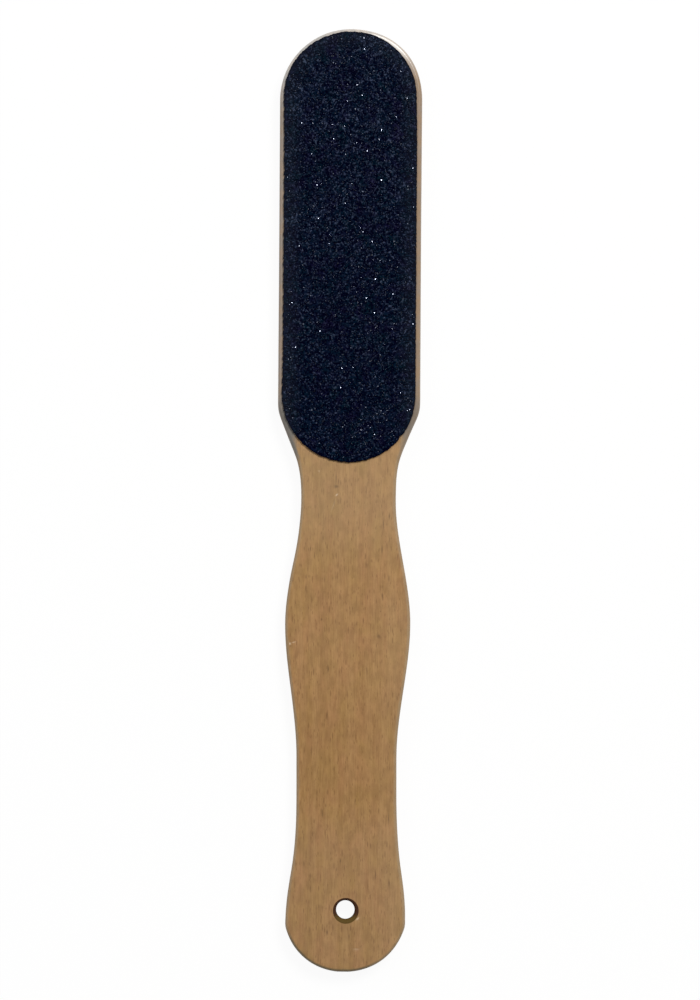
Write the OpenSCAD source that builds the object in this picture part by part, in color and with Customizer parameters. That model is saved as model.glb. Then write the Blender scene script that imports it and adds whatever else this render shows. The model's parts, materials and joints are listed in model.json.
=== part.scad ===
// Paddle foot file: a flat beech paddle whose head carries a glued abrasive pad on each face.
// It lies on its fine pad, with +Z up and the head towards +Y.

/* [Head] */
// Width of the head, which is also the diameter of its round tip
head_w = 40; // [32:1:55]
// Length from the tip to the shoulder's corner
head_l = 107.5; // [90:0.5:140]
// Radius that rounds the shoulder's corner
shoulder_r = 11.5; // [5:0.5:20]
// Angle by which the outline turns in at the shoulder
shoulder_angle = 22.4; // [15:0.2:32]
// Length of the straight slope below the shoulder's corner, along the paddle
shoulder_l = 11.5; // [8:0.5:18]

/* [Handle] */
// Width at the neck, below the shoulders
neck_w = 26.6; // [20:0.1:36]
// Length from the end of the shoulder's slope to the neck
neck_l = 13.4; // [8:0.2:25]
// Width at the belly, the widest place of the grip
belly_w = 35.2; // [28:0.1:46]
// Length from the neck to the belly
neck_to_belly_l = 34.8; // [25:0.2:55]
// Width at the waist, between the belly and the end
waist_w = 28.2; // [20:0.1:38]
// Length from the belly to the waist
belly_to_waist_l = 37.5; // [25:0.1:55]
// Length over which the waist stays straight
waist_l = 10.6; // [4:0.2:30]
// Width at the bulb, the widest place of the handle's end
bulb_w = 33.8; // [26:0.1:44]
// Length from the waist to the bulb
waist_to_bulb_l = 34.6; // [24:0.2:55]
// Length over which the bulb's sides stay straight
bulb_l = 1.6; // [0.5:0.1:8]
// How far the end cap's radius exceeds half the bulb's width
end_cap_spare_r = 0.6; // [0.2:0.1:6]
// Radius where the bulb's sides turn into the end cap
end_corner_r = 4; // [2:0.5:10]

/* [Board] */
// Thickness of the beech board
board_t = 6; // [4:0.5:10]
// Radius of the board's eased edges
edge_r = 1; // [0.3:0.1:1.8]

/* [Hanging hole] */
// Diameter of the hanging hole
hole_d = 5.2; // [4:0.2:8]
// Distance from the hole's centre to the handle's end
hole_to_end = 17.1; // [12:0.1:26]
// Width and depth of the bevel round each mouth of the hole
hole_bevel = 0.9; // [0.2:0.05:1.2]

/* [Abrasive pads] */
// Bare wood between a pad and the head's long sides
pad_side_margin = 1.3; // [0.6:0.1:4]
// Bare wood between a pad and the head's tip
pad_tip_margin = 0.9; // [0.4:0.1:4]
// How far a pad runs on below the shoulder's corner
pad_tail = 14.3; // [8:0.2:17]
// Thickness of the adhesive film under each pad
glue_film_t = 0.1; // [0.05:0.05:0.4]
// How far the adhesive film stays back from the pad's edge
glue_film_setback = 0.2; // [0.1:0.1:1]
// Thickness of the coarse pad's paper backing
coarse_backing_t = 0.4; // [0.2:0.05:1]
// Thickness of the coarse pad's resin and grain coat
coarse_grit_t = 0.45; // [0.2:0.05:1]
// Thickness of the fine pad's paper backing
fine_backing_t = 0.35; // [0.2:0.05:1]
// Thickness of the fine pad's resin and grain coat
fine_grit_t = 0.2; // [0.1:0.05:0.6]

/* [Hidden] */
$fn = 96;

// Cuts run past the surfaces that they open by this much
overrun = 1;
// Spacing of the outline's points along the handle, and of those on its arcs
curve_step = 2;
arc_step = 1.6;
// Segments across each eased edge
edge_steps = 4;
// The rise from waist to bulb: where the flare starts, how far it has risen there, and how steep it is
flare_place_share = 0.55;
flare_rise_share = 0.38;
flare_slope_share = 1.58;

// Distances from the tip, along the paddle
slope_end_s = head_l + shoulder_l;
neck_s = slope_end_s + neck_l;
belly_s = neck_s + neck_to_belly_l;
waist_s = belly_s + belly_to_waist_l;
waist_end_s = waist_s + waist_l;
flare_s = waist_end_s + flare_place_share * waist_to_bulb_l;
bulb_s = waist_end_s + waist_to_bulb_l;
bulb_end_s = bulb_s + bulb_l;

// Shoulder: the arc that rounds the corner, and the half-width where the slope ends
shoulder_reach = shoulder_r * tan(shoulder_angle / 2);
slope_end_half_w = head_w / 2 - shoulder_l * tan(shoulder_angle);

// Flare: half-width and slope where it starts
bulb_rise = (bulb_w - waist_w) / 2;
flare_half_w = waist_w / 2 + flare_rise_share * bulb_rise;
flare_slope = flare_slope_share * bulb_rise / waist_to_bulb_l;

// End cap: one large arc that a corner arc joins to each side of the bulb
end_cap_r = bulb_w / 2 + end_cap_spare_r;
corner_x = bulb_w / 2 - end_corner_r;
cap_drop = sqrt(pow(end_cap_r - end_corner_r, 2) - pow(corner_x, 2));
cap_centre_s = bulb_end_s - cap_drop;
cap_angle = atan2(cap_drop, corner_x);
paddle_l = cap_centre_s + end_cap_r;

// Heights of the layers, from the surface that the file lies on
fine_backing_z = fine_grit_t;
fine_film_z = fine_backing_z + fine_backing_t;
board_z = fine_film_z + glue_film_t;
coarse_film_z = board_z + board_t;
coarse_backing_z = coarse_film_z + glue_film_t;
coarse_grit_z = coarse_backing_z + coarse_backing_t;

// The hole, from the tip
hole_s = paddle_l - hole_to_end;

// The pads' width, and the centres of their round ends
pad_w = head_w - 2 * pad_side_margin;
pad_top_s = pad_tip_margin + pad_w / 2;
pad_bottom_s = head_l + pad_tail - pad_w / 2;

// The number of steps that cover a length
function steps(length, step) = max(2, ceil(length / step));

// Points on an arc round [cx, cs], where x is across and s runs from the tip; first = 1 leaves one out
function arc(cx, cs, r, from, to, first = 0) =
    let (n = steps(r * abs(to - from) * PI / 180, arc_step))
    [for (i = [first : n]) let (a = from + (to - from) * i / n) [cx + r * cos(a), cs + r * sin(a)]];

// A cubic between two stations, each [s, half-width, slope]
function blend(a, b, t) =
    let (l = b[0] - a[0], u = t * t, v = t * t * t)
    a[1] * (2 * v - 3 * u + 1) + a[2] * l * (v - 2 * u + t)
    + b[1] * (3 * u - 2 * v) + b[2] * l * (v - u);

// Points of the handle's side between two stations, without the last one
function side(a, b) =
    let (n = steps(b[0] - a[0], curve_step))
    [for (i = [0 : n - 1]) [blend(a, b, i / n), a[0] + (b[0] - a[0]) * i / n]];

// Places where the handle's width and slope are set, from the tip's end downwards
stations = [
    [slope_end_s, slope_end_half_w, -tan(shoulder_angle)],
    [neck_s, neck_w / 2, 0],
    [belly_s, belly_w / 2, 0],
    [waist_s, waist_w / 2, 0],
    [waist_end_s, waist_w / 2, 0],
    [flare_s, flare_half_w, flare_slope],
    [bulb_s, bulb_w / 2, 0]
];

// The right half of the outline, from the tip to the handle's end
right_half = concat(
    arc(0, head_w / 2, head_w / 2, -90, 0),
    arc(head_w / 2 - shoulder_r, head_l - shoulder_reach, shoulder_r, 0, shoulder_angle),
    [for (k = [0 : len(stations) - 2]) each side(stations[k], stations[k + 1])],
    [[bulb_w / 2, bulb_s]],
    arc(corner_x, bulb_end_s, end_corner_r, 0, cap_angle),
    arc(0, cap_centre_s, end_cap_r, cap_angle, 90, first = 1)
);
half_count = len(right_half);

// The whole outline, down the right side and back up the left, and each point's outward direction
outline = concat(right_half, [for (i = [half_count - 2 : -1 : 1]) [-right_half[i][0], right_half[i][1]]]);
count = len(outline);
outward = [
    for (i = [0 : count - 1])
        let (d = outline[(i + 1) % count] - outline[(i + count - 1) % count])
        [d[1], -d[0]] / norm(d)
];

// The board's edge in section, bottom to top, as [distance in from the outline, height]
edge_section = [
    for (a = [-90 : 90 / edge_steps : 0]) [edge_r * (1 - cos(a)), board_z + edge_r * (1 + sin(a))],
    for (a = [0 : 90 / edge_steps : 90]) [edge_r * (1 - cos(a)), board_z + board_t - edge_r * (1 - sin(a))]
];

// The blank before it is drilled: a ring of points for each step of the edge, closed by two flat faces
module eased_board() {
    top = (len(edge_section) - 1) * count;
    points = [
        for (e = edge_section, i = [0 : count - 1])
            let (p = outline[i] - e[0] * outward[i])
            [p[0], paddle_l / 2 - p[1], e[1]]
    ];
    walls = [
        for (k = [0 : count : top - 1], i = [0 : count - 1])
            let (a = k + i, b = k + (i + 1) % count)
            each [[a, b, b + count], [a, b + count, a + count]]
    ];
    strips = [
        for (i = [1 : half_count - 3])
            each [[count - i, i, i + 1], [count - i, i + 1, count - i - 1]]
    ];
    face = concat([[0, 1, count - 1]], strips, [[half_count - 2, half_count - 1, half_count]]);
    upper = [for (f = face) [top + f[0], top + f[1], top + f[2]]];
    lower = [for (f = face) [f[0], f[2], f[1]]];
    polyhedron(points, concat(walls, upper, lower));
}

// The hole's straight bore and the bevel at each of its mouths
module hole_cut() {
    r = hole_d / 2;
    wide = r + hole_bevel + overrun;
    translate([0, paddle_l / 2 - hole_s, board_z]) {
        translate([0, 0, -overrun])
            cylinder(h = board_t + 2 * overrun, r = r);
        translate([0, 0, -overrun])
            cylinder(h = hole_bevel + overrun, r1 = wide, r2 = r);
        translate([0, 0, board_t - hole_bevel])
            cylinder(h = hole_bevel + overrun, r1 = r, r2 = wide);
    }
}

// A flat sheet with the pad's round-ended outline, drawn in from it by a setback
module pad_sheet(z, t, setback = 0) {
    r = pad_w / 2 - setback;
    translate([0, 0, z])
        linear_extrude(t) {
            for (s = [pad_top_s, pad_bottom_s])
                translate([0, paddle_l / 2 - s])
                    circle(r);
            translate([-r, paddle_l / 2 - pad_bottom_s])
                square([2 * r, pad_bottom_s - pad_top_s]);
        }
}

module beech_paddle() {
    color("#a58257")
        difference() {
            eased_board();
            hole_cut();
        }
}

module coarse_glue_film() {
    color("#c9b184")
        pad_sheet(coarse_film_z, glue_film_t, glue_film_setback);
}

module coarse_backing() {
    color("#3a3029")
        pad_sheet(coarse_backing_z, coarse_backing_t);
}

module coarse_grit_coat() {
    color("#121828")
        pad_sheet(coarse_grit_z, coarse_grit_t);
}

module fine_glue_film() {
    color("#c9b184")
        pad_sheet(fine_film_z, glue_film_t, glue_film_setback);
}

module fine_backing() {
    color("#3a3029")
        pad_sheet(fine_backing_z, fine_backing_t);
}

module fine_grit_coat() {
    color("#1d2330")
        pad_sheet(0, fine_grit_t);
}

beech_paddle();
coarse_glue_film();
coarse_backing();
coarse_grit_coat();
fine_glue_film();
fine_backing();
fine_grit_coat();
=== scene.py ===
"""The look of the foot file: a beech paddle with a coarse abrasive pad on top and a fine one below.

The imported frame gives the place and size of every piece. Lengths are in metres in the frame and in
millimetres inside the materials. Points go round an outline anticlockwise, as seen from above.
"""

import json
import logging
import math
from abc import ABC, abstractmethod
from collections.abc import Iterable
from dataclasses import dataclass
from enum import Enum
from typing import ClassVar

import bpy
import numpy as np
from mathutils import Matrix, Vector
from mathutils.geometry import delaunay_2d_cdt


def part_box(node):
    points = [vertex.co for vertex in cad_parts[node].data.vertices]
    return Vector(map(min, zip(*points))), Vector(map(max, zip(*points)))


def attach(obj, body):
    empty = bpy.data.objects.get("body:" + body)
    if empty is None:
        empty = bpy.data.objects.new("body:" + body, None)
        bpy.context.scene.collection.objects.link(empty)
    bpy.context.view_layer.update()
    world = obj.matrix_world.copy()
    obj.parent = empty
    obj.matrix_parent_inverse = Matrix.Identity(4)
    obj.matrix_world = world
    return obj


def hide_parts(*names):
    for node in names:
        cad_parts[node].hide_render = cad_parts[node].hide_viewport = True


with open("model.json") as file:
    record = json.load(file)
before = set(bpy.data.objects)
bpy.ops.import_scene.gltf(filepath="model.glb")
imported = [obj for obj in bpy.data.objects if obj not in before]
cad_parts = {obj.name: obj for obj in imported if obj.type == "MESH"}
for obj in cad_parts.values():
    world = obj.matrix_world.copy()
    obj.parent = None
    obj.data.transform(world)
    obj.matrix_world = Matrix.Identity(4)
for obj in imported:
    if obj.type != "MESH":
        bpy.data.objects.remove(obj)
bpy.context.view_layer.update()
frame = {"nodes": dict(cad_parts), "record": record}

MM = 0.001
# Points nearer than this count as one
NEAR = 0.001 * MM
# Coordinates in metres are rounded to so many places where equal ones are sought
PLACES = 7
# Triangles are filled in between points with this tolerance, in metres
FILL_TOLERANCE = 1e-9
# Spots stay this far inside a line, in spot distances
LINE_MARGIN = 0.62
# Where the handle turns into the head, in millimetres up the paddle
HEAD_RISE = (10.0, 21.0)
ROOT = "root"
BAKE_MAP = "OFBake"
log = logging.getLogger("foot_file")

Colour = tuple[float, float, float]
Span = tuple[float, float]
Socket = bpy.types.NodeSocket
Value = float | tuple | Socket
Rng = np.random.Generator
RingPair = tuple[np.ndarray, np.ndarray]


class Slot(Enum):
    """The record's material slots."""

    BEECH = "beech"
    FILM = "glue_film"
    PAPER = "backing_paper"
    COARSE = "coarse_grit"
    FINE = "fine_grit"


class Chart(Enum):
    """The parts of a plate's surface that lie apart on the bake's map."""

    TOP = "top"
    BOTTOM = "bottom"
    RIM = "rim"
    BORE = "bore"


Layout = dict[Chart, Span]


class Mark(Enum):
    """What the mesh tells its material about each point, from 0 to 1."""

    EASED = "eased"
    BORED = "bored"
    NICKED = "nicked"
    STAINED = "stained"
    CUT = "cut"
    SHADE = "shade"
    # On the grit, crystals that shine; on the paddle, a painted highlight beside the pad
    POLISH_AND_HIGHLIGHT = "polish_and_highlight"


class Facing(Enum):
    """Which way a pad's grit looks."""

    UP = 1
    DOWN = -1


def corners_of(node: str) -> np.ndarray:
    """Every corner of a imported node, one row each."""
    return np.array([v.co for v in frame["nodes"][node].data.vertices], float)


def on_paddle(x: float, from_tip: float) -> np.ndarray:
    """The x and y in metres of a place given in millimetres from the paddle's axis and from its tip."""
    return np.array([x * MM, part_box("beech_paddle")[1].y - from_tip * MM])


def quarter(steps: int) -> list[float]:
    """Evenly spaced angles from 0 to a right angle."""
    return [math.pi / 2 * k / steps for k in range(steps + 1)]


@dataclass(frozen=True)
class Stray:
    """A stretch where handwork strays from the drawn outline.

    Attributes:
        x: its middle, from the paddle's axis, in millimetres.
        from_tip: its middle, from the tip, in millimetres.
        reach: how far along the line it can be seen, in millimetres.
        out: how far out the line goes there, in millimetres, or inwards where it is less than 0.
    """

    x: float
    from_tip: float
    reach: float
    out: float

    def at(self, points: np.ndarray) -> np.ndarray:
        """How far out it moves each point, in metres."""
        return self.out * MM * self.nearness(points)

    def nearness(self, points: np.ndarray) -> np.ndarray:
        """1 in its middle, falling to 0 at its ends, for each point."""
        apart = np.linalg.norm(points - on_paddle(self.x, self.from_tip), axis=1) / (self.reach * MM)
        return np.clip(1 - apart**2, 0, 1) ** 2


@dataclass(frozen=True)
class Outline:
    """A closed line round a flat piece.

    Attributes:
        points: x and y of each point, one row per point.
    """

    points: np.ndarray

    @classmethod
    def of_node(cls, name: str) -> "Outline":
        """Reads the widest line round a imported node, which is the same left and right of x = 0.

        Args:
            name: the node's name.

        Returns:
            The line, with the node's own corners.
        """
        spots = corners_of(name)
        level = spots[np.argmax(spots[:, 0]), 2]
        line = spots[np.abs(spots[:, 2] - level) < NEAR][:, :2]
        right = np.unique(np.round(line[line[:, 0] > -NEAR], PLACES), axis=0)
        right = right[np.argsort(right[:, 1])]
        left = right[::-1] * (-1, 1)
        return cls(np.vstack([right, left[left[:, 0] < -NEAR]]))

    def smoothed(self, pitch: float, longest: float = 2 * MM) -> "Outline":
        """Puts evenly spaced points on a smooth curve through this line's points.

        Args:
            pitch: the wanted distance between points.
            longest: a straight stretch is cut to this before the curve is drawn, so that it stays straight.

        Returns:
            The new line.
        """
        ring = np.vstack([self.points, self.points[:1]])
        pieces = np.ceil(np.linalg.norm(np.diff(ring, axis=0), axis=1) / longest).astype(int)
        cut = [a + (b - a) * np.arange(n)[:, None] / n for a, b, n in zip(ring, ring[1:], pieces)]
        knots = np.vstack(cut)
        ahead = np.roll(knots, -1, axis=0) - knots
        step = np.linalg.norm(ahead, axis=1)[:, None]
        slope = ahead / step
        step_back = np.roll(step, 1, axis=0)
        tangent = (np.roll(slope, 1, axis=0) * step + slope * step_back) / (step + step_back)
        start = np.concatenate([[0], np.cumsum(step)])
        count = 2 * round(start[-1] / pitch / 2)
        at = np.arange(count) * start[-1] / count
        k = np.searchsorted(start, at, side="right") - 1
        t = ((at - start[k]) / step[k, 0])[:, None]
        k_next = (k + 1) % len(knots)
        curve = (
            (2 * t**3 - 3 * t**2 + 1) * knots[k]
            + (t**3 - 2 * t**2 + t) * step[k] * tangent[k]
            + (3 * t**2 - 2 * t**3) * knots[k_next]
            + (t**3 - t**2) * step[k] * tangent[k_next]
        )
        return Outline(np.clip(curve, self.points.min(axis=0), self.points.max(axis=0)))

    def outward(self) -> np.ndarray:
        """Works out the direction away from the piece.

        Returns:
            A vector of length 1 for each point.
        """
        along = np.roll(self.points, -1, axis=0) - np.roll(self.points, 1, axis=0)
        along /= np.linalg.norm(along, axis=1)[:, None]
        return np.stack([along[:, 1], -along[:, 0]], axis=1)

    def inset(self, distance: float | np.ndarray) -> "Outline":
        """The line moved inwards.

        Args:
            distance: how far, one number or one for each point.

        Returns:
            The new line, with as many points.
        """
        return Outline(self.points - self.outward() * np.reshape(distance, (-1, 1)))

    def strayed(self, strays: Iterable[Stray]) -> "Outline":
        """The line as it comes out by hand, moved by every stray."""
        return self.inset(-sum((stray.at(self.points) for stray in strays), np.zeros(len(self.points))))

    def shares(self) -> np.ndarray:
        """How far round the line each point lies, from 0 to 1."""
        steps = np.linalg.norm(np.roll(self.points, -1, axis=0) - self.points, axis=1)
        return np.concatenate([[0], np.cumsum(steps)[:-1]]) / steps.sum()

    def half_width(self, y: np.ndarray) -> np.ndarray:
        """Measures the line's distance from x = 0 on its nearer side.

        Args:
            y: where it is measured.

        Returns:
            The distance at each y, and less than 0 beyond the line's ends.
        """
        sides = []
        for sign in (1, -1):
            side = self.points[sign * self.points[:, 0] >= 0]
            side = side[np.argsort(side[:, 1])]
            sides.append(np.interp(y, side[:, 1], sign * side[:, 0], left=-1, right=-1))
        return np.minimum(*sides)

    def distance_to(self, spots: np.ndarray) -> np.ndarray:
        """The distance from each spot to the nearest point of the line."""
        apart = spots[:, None, :] - self.points[None, :, :]
        return np.sqrt((apart**2).sum(axis=2).min(axis=1))

    def lattice(self, pitch: float, jitter: float, rng: Rng) -> np.ndarray:
        """Spots spread over the inside in rows of triangles.

        Args:
            pitch: the distance between neighbours.
            jitter: how far a spot may stray, as a share of the pitch.
            rng: where the straying comes from.

        Returns:
            x and y of each spot. None is near the line.
        """
        inner = self.inset((LINE_MARGIN + jitter / 2) * pitch)
        low, high = inner.points.min(axis=0), inner.points.max(axis=0)
        rows = np.arange(low[1], high[1], pitch * math.sqrt(3) / 2)
        columns = np.arange(low[0] - pitch, high[0] + pitch, pitch)
        x, y = np.meshgrid(columns, rows)
        x[1::2] += pitch / 2
        spots = np.stack([x.ravel(), y.ravel()], axis=1)
        spots = spots[np.abs(spots[:, 0]) < inner.half_width(spots[:, 1])]
        return spots + rng.uniform(-jitter, jitter, spots.shape) * pitch


PAD_STRAYS = (
    Stray(-17.0, 10.0, 24.0, 0.30),
    Stray(8.0, 2.0, 14.0, 0.20),
    Stray(19.5, 20.0, 9.0, -0.17),
    Stray(-19.5, 103.0, 12.0, 0.20),
    Stray(14.8, 114.8, 1.3, -0.22),
)


def pad_line(node: str, pitch: float) -> Outline:
    """A pad layer's outline as it comes out by hand, with points about a pitch apart."""
    return Outline.of_node(node).smoothed(pitch).strayed(PAD_STRAYS)


def circle(centre: np.ndarray, radius: float, count: int) -> Outline:
    """A round outline.

    Args:
        centre: its x and y.
        radius: its radius.
        count: its number of points.

    Returns:
        The outline.
    """
    angle = np.linspace(0, 2 * math.pi, count, endpoint=False)
    return Outline(centre + radius * np.stack([np.cos(angle), np.sin(angle)], axis=1))


def waves(along: np.ndarray, counts: range, rng: Rng) -> np.ndarray:
    """A gentle random wave round an outline, between about -1 and 1.

    Args:
        along: how far round each point lies, from 0 to 1.
        counts: the numbers of waves that it is made of.
        rng: where their heights and places come from.

    Returns:
        The wave's height at each point.
    """
    total = np.zeros(len(along))
    for count in counts:
        total += rng.normal() * np.sin(2 * math.pi * (count * along + rng.random()))
    return total / math.sqrt(len(counts))


class Shell:
    """Gathers one closed mesh: points with their marks, and faces with their charts."""

    def __init__(self) -> None:
        """Starts with nothing."""
        self.points = np.zeros((0, 3))
        self.spans = np.zeros((0, 2))
        self.marks: dict[Mark, np.ndarray] = {}
        self.faces: list[tuple[np.ndarray, Chart]] = []

    def add(
        self,
        spots: np.ndarray,
        z: float | np.ndarray,
        along: float | np.ndarray = 0.0,
        across: float = 0.0,
        marks: dict[Mark, float | np.ndarray] | None = None,
    ) -> np.ndarray:
        """Adds points.

        Args:
            spots: x and y of each.
            z: their height.
            along: how far round the rim or bore each lies, for the bake's map.
            across: how far down the rim or bore they lie, for the bake's map.
            marks: what the material is told of them.

        Returns:
            The new points' numbers.
        """
        first, count = len(self.points), len(spots)
        placed = np.column_stack([spots, np.broadcast_to(z, count)])
        spans = np.column_stack([np.broadcast_to(along, count), np.broadcast_to(across, count)])
        self.points = np.vstack([self.points, placed])
        self.spans = np.vstack([self.spans, spans])
        marks = marks or {}
        for mark in self.marks | marks:
            had = self.marks.get(mark, np.zeros(first))
            new = np.broadcast_to(marks.get(mark, 0.0), count)
            self.marks[mark] = np.concatenate([had, new])
        return np.arange(first, first + count)

    def wall(self, rings: list[np.ndarray], chart: Chart, inwards: bool = False) -> RingPair:
        """Joins rings of points, one above the other, with quads.

        Args:
            rings: each ring's point numbers, from the bottom up.
            chart: where the quads lie on the map.
            inwards: whether they look at the rings' inside, and not away from it.

        Returns:
            The lowest and the highest ring.
        """
        for pair in zip(rings, rings[1:]):
            lower, upper = reversed(pair) if inwards else pair
            quads = np.stack([lower, np.roll(lower, -1), np.roll(upper, -1), upper], axis=1)
            self.add_faces(quads, chart)
        return rings[0], rings[-1]

    def fill(self, rings: list[np.ndarray], inner: np.ndarray, up: bool, chart: Chart) -> None:
        """Fills the space between rings with triangles.

        Args:
            rings: point numbers of the outer ring, and of any hole's ring.
            inner: point numbers of the spots between them.
            up: whether the triangles look up.
            chart: where they lie on the map.
        """
        numbers = np.concatenate([*rings, inner]).astype(int)
        edges, first = [], 0
        for ring in rings:
            edges += [(first + i, first + (i + 1) % len(ring)) for i in range(len(ring))]
            first += len(ring)
        only_inside = 1
        spots = [Vector(p) for p in self.points[numbers, :2]]
        made = delaunay_2d_cdt(spots, edges, [], only_inside, FILL_TOLERANCE)
        triangles, origins = made[2], made[3]
        origin = np.array([ids[0] for ids in origins])
        corners = numbers[origin[np.array(triangles)]]
        for hole in rings[1:]:
            corners = corners[~np.isin(corners, hole).all(axis=1)]
        a, b, c = (self.points[corners[:, i], :2] for i in range(3))
        wrong = (np.cross(b - a, c - a) > 0) != up
        corners[wrong] = corners[wrong][:, ::-1]
        self.add_faces(corners, chart)

    def add_faces(self, corners: np.ndarray, chart: Chart) -> None:
        """Adds faces given by their corners' point numbers, one row per face."""
        self.faces.append((corners, chart))

    def _map(self, layout: Layout) -> np.ndarray:
        """Spreads the faces out on the bake's map.

        Args:
            layout: the columns of the map that each chart takes.

        Returns:
            Each face corner's place on it.
        """
        border = 0.004
        low, high = self.points.min(axis=0), self.points.max(axis=0)
        flat = (self.points[:, :2] - low[:2]) / (high - low)[:2]
        parts = []
        for corners, chart in self.faces:
            left, right = layout[chart]
            if chart in (Chart.TOP, Chart.BOTTOM):
                place = flat[corners]
                u, v = place[..., 0], place[..., 1]
            else:
                place = self.spans[corners]
                v, u = place[..., 0].copy(), place[..., 1]
                wraps = np.ptp(v, axis=1) > 0.5
                v[wraps] += v[wraps] < 0.5
            spread = np.stack([left + u * (right - left), v], axis=-1)
            parts.append((border + (1 - 2 * border) * spread).reshape(-1, 2))
        return np.vstack(parts)

    def make(self, name: str, layout: Layout, smooth: bool) -> bpy.types.Object:
        """Makes the object.

        Args:
            name: its name.
            layout: the columns of the bake's map that each chart takes.
            smooth: whether the light runs smoothly over its faces.

        Returns:
            The new object, linked to the scene.
        """
        mesh = bpy.data.meshes.new(name)
        corners = np.concatenate([f.ravel() for f, _ in self.faces]).astype(np.int32)
        sizes = np.concatenate([np.full(len(f), f.shape[1]) for f, _ in self.faces])
        mesh.vertices.add(len(self.points))
        mesh.vertices.foreach_set("co", self.points.astype(np.float32).ravel())
        mesh.loops.add(len(corners))
        mesh.loops.foreach_set("vertex_index", corners)
        mesh.polygons.add(len(sizes))
        starts = np.concatenate([[0], np.cumsum(sizes)[:-1]]).astype(np.int32)
        mesh.polygons.foreach_set("loop_start", starts)
        mesh.polygons.foreach_set("use_smooth", np.full(len(sizes), smooth))
        bake_map = mesh.uv_layers.new(name=BAKE_MAP)
        bake_map.uv.foreach_set("vector", self._map(layout).astype(np.float32).ravel())
        for mark, values in self.marks.items():
            told = mesh.attributes.new(mark.value, "FLOAT", "POINT")
            told.data.foreach_set("value", values.astype(np.float32))
        mesh.update(calc_edges=True)
        if mesh.validate():
            log.warning("%s: its mesh had to be mended", name)
        made = bpy.data.objects.new(name, mesh)
        bpy.context.scene.collection.objects.link(made)
        return made


@dataclass(frozen=True)
class Ramp:
    """A soft step from one value to another.

    Attributes:
        start: where it starts.
        end: where it ends.
        first: what it gives before its start.
        last: what it gives past its end.
    """

    start: Value
    end: Value
    first: float = 0.0
    last: float = 1.0


class Sketch:
    """Adds nodes to one shader tree and links them."""

    def __init__(self, tree: bpy.types.NodeTree) -> None:
        """Keeps the tree that the nodes go into."""
        self.tree = tree

    def feed(self, socket: Socket, value: Value) -> None:
        """Links a socket to another one, or sets its own value.

        Args:
            socket: the input socket.
            value: what it gets.
        """
        if isinstance(value, Socket):
            self.tree.links.new(value, socket)
        else:
            socket.default_value = value

    def add(
        self, kind: str, inputs: dict[str | int, Value] | None = None, **settings: object
    ) -> bpy.types.Node:
        """Adds a node.

        Args:
            kind: its type, without the leading ShaderNode.
            inputs: what its input sockets get.
            **settings: its own properties.

        Returns:
            The node.
        """
        node = self.tree.nodes.new("ShaderNode" + kind)
        for name, value in settings.items():
            setattr(node, name, value)
        for socket, value in (inputs or {}).items():
            self.feed(node.inputs[socket], value)
        return node

    def math(self, operation: str, first: Value, second: Value = 0.0) -> Socket:
        """The result of one sum on two numbers."""
        return self.add("Math", {0: first, 1: second}, operation=operation).outputs[0]

    def times(self, first: Value, second: Value) -> Socket:
        """The product of two numbers."""
        return self.math("MULTIPLY", first, second)

    def plus(self, first: Value, second: Value) -> Socket:
        """The sum of two numbers."""
        return self.math("ADD", first, second)

    def minus(self, first: Value, second: Value) -> Socket:
        """The first number without the second."""
        return self.math("SUBTRACT", first, second)

    def larger(self, first: Value, second: Value) -> Socket:
        """The larger of two numbers."""
        return self.math("MAXIMUM", first, second)

    def ramp(self, value: Value, step: Ramp) -> Socket:
        """What a soft step gives at a value."""
        given = (value, step.start, step.end, step.first, step.last)
        inputs = dict(zip(("Value", "From Min", "From Max", "To Min", "To Max"), given))
        return self.add("MapRange", inputs, interpolation_type="SMOOTHSTEP").outputs[0]

    def blend(self, share: Value, first: Value, second: Value) -> Socket:
        """Two colours blended, with the given share of the second one."""
        first, second = (v + (1.0,) if isinstance(v, tuple) else v for v in (first, second))
        return self.add("Mix", {0: share, 6: first, 7: second}, data_type="RGBA").outputs[2]

    def layers(self, under: Value, *over: tuple[Value, Value]) -> Socket:
        """Lays colours over one another.

        Args:
            under: the lowest colour.
            *over: how much of each further colour shows, and the colour.

        Returns:
            The colour on top.
        """
        for share, colour in over:
            under = self.blend(share, under, colour)
        return under

    def scaled(self, vector: Value, factors: Value) -> Socket:
        """A vector with each part multiplied."""
        return self.add("VectorMath", {0: vector, 1: factors}, operation="MULTIPLY").outputs[0]

    def noise(self, vector: Value, scale: float = 1.0, detail: float = 2.0, rough: float = 0.5) -> Socket:
        """Cloudy noise round 0.5 at each place of vector."""
        inputs = {"Vector": vector, "Scale": scale, "Detail": detail, "Roughness": rough}
        return self.add("TexNoise", inputs).outputs["Fac"]

    def mark(self, mark: Mark) -> Socket:
        """What the mesh says of a place."""
        return self.add("Attribute", attribute_name=mark.value).outputs["Fac"]


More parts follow.
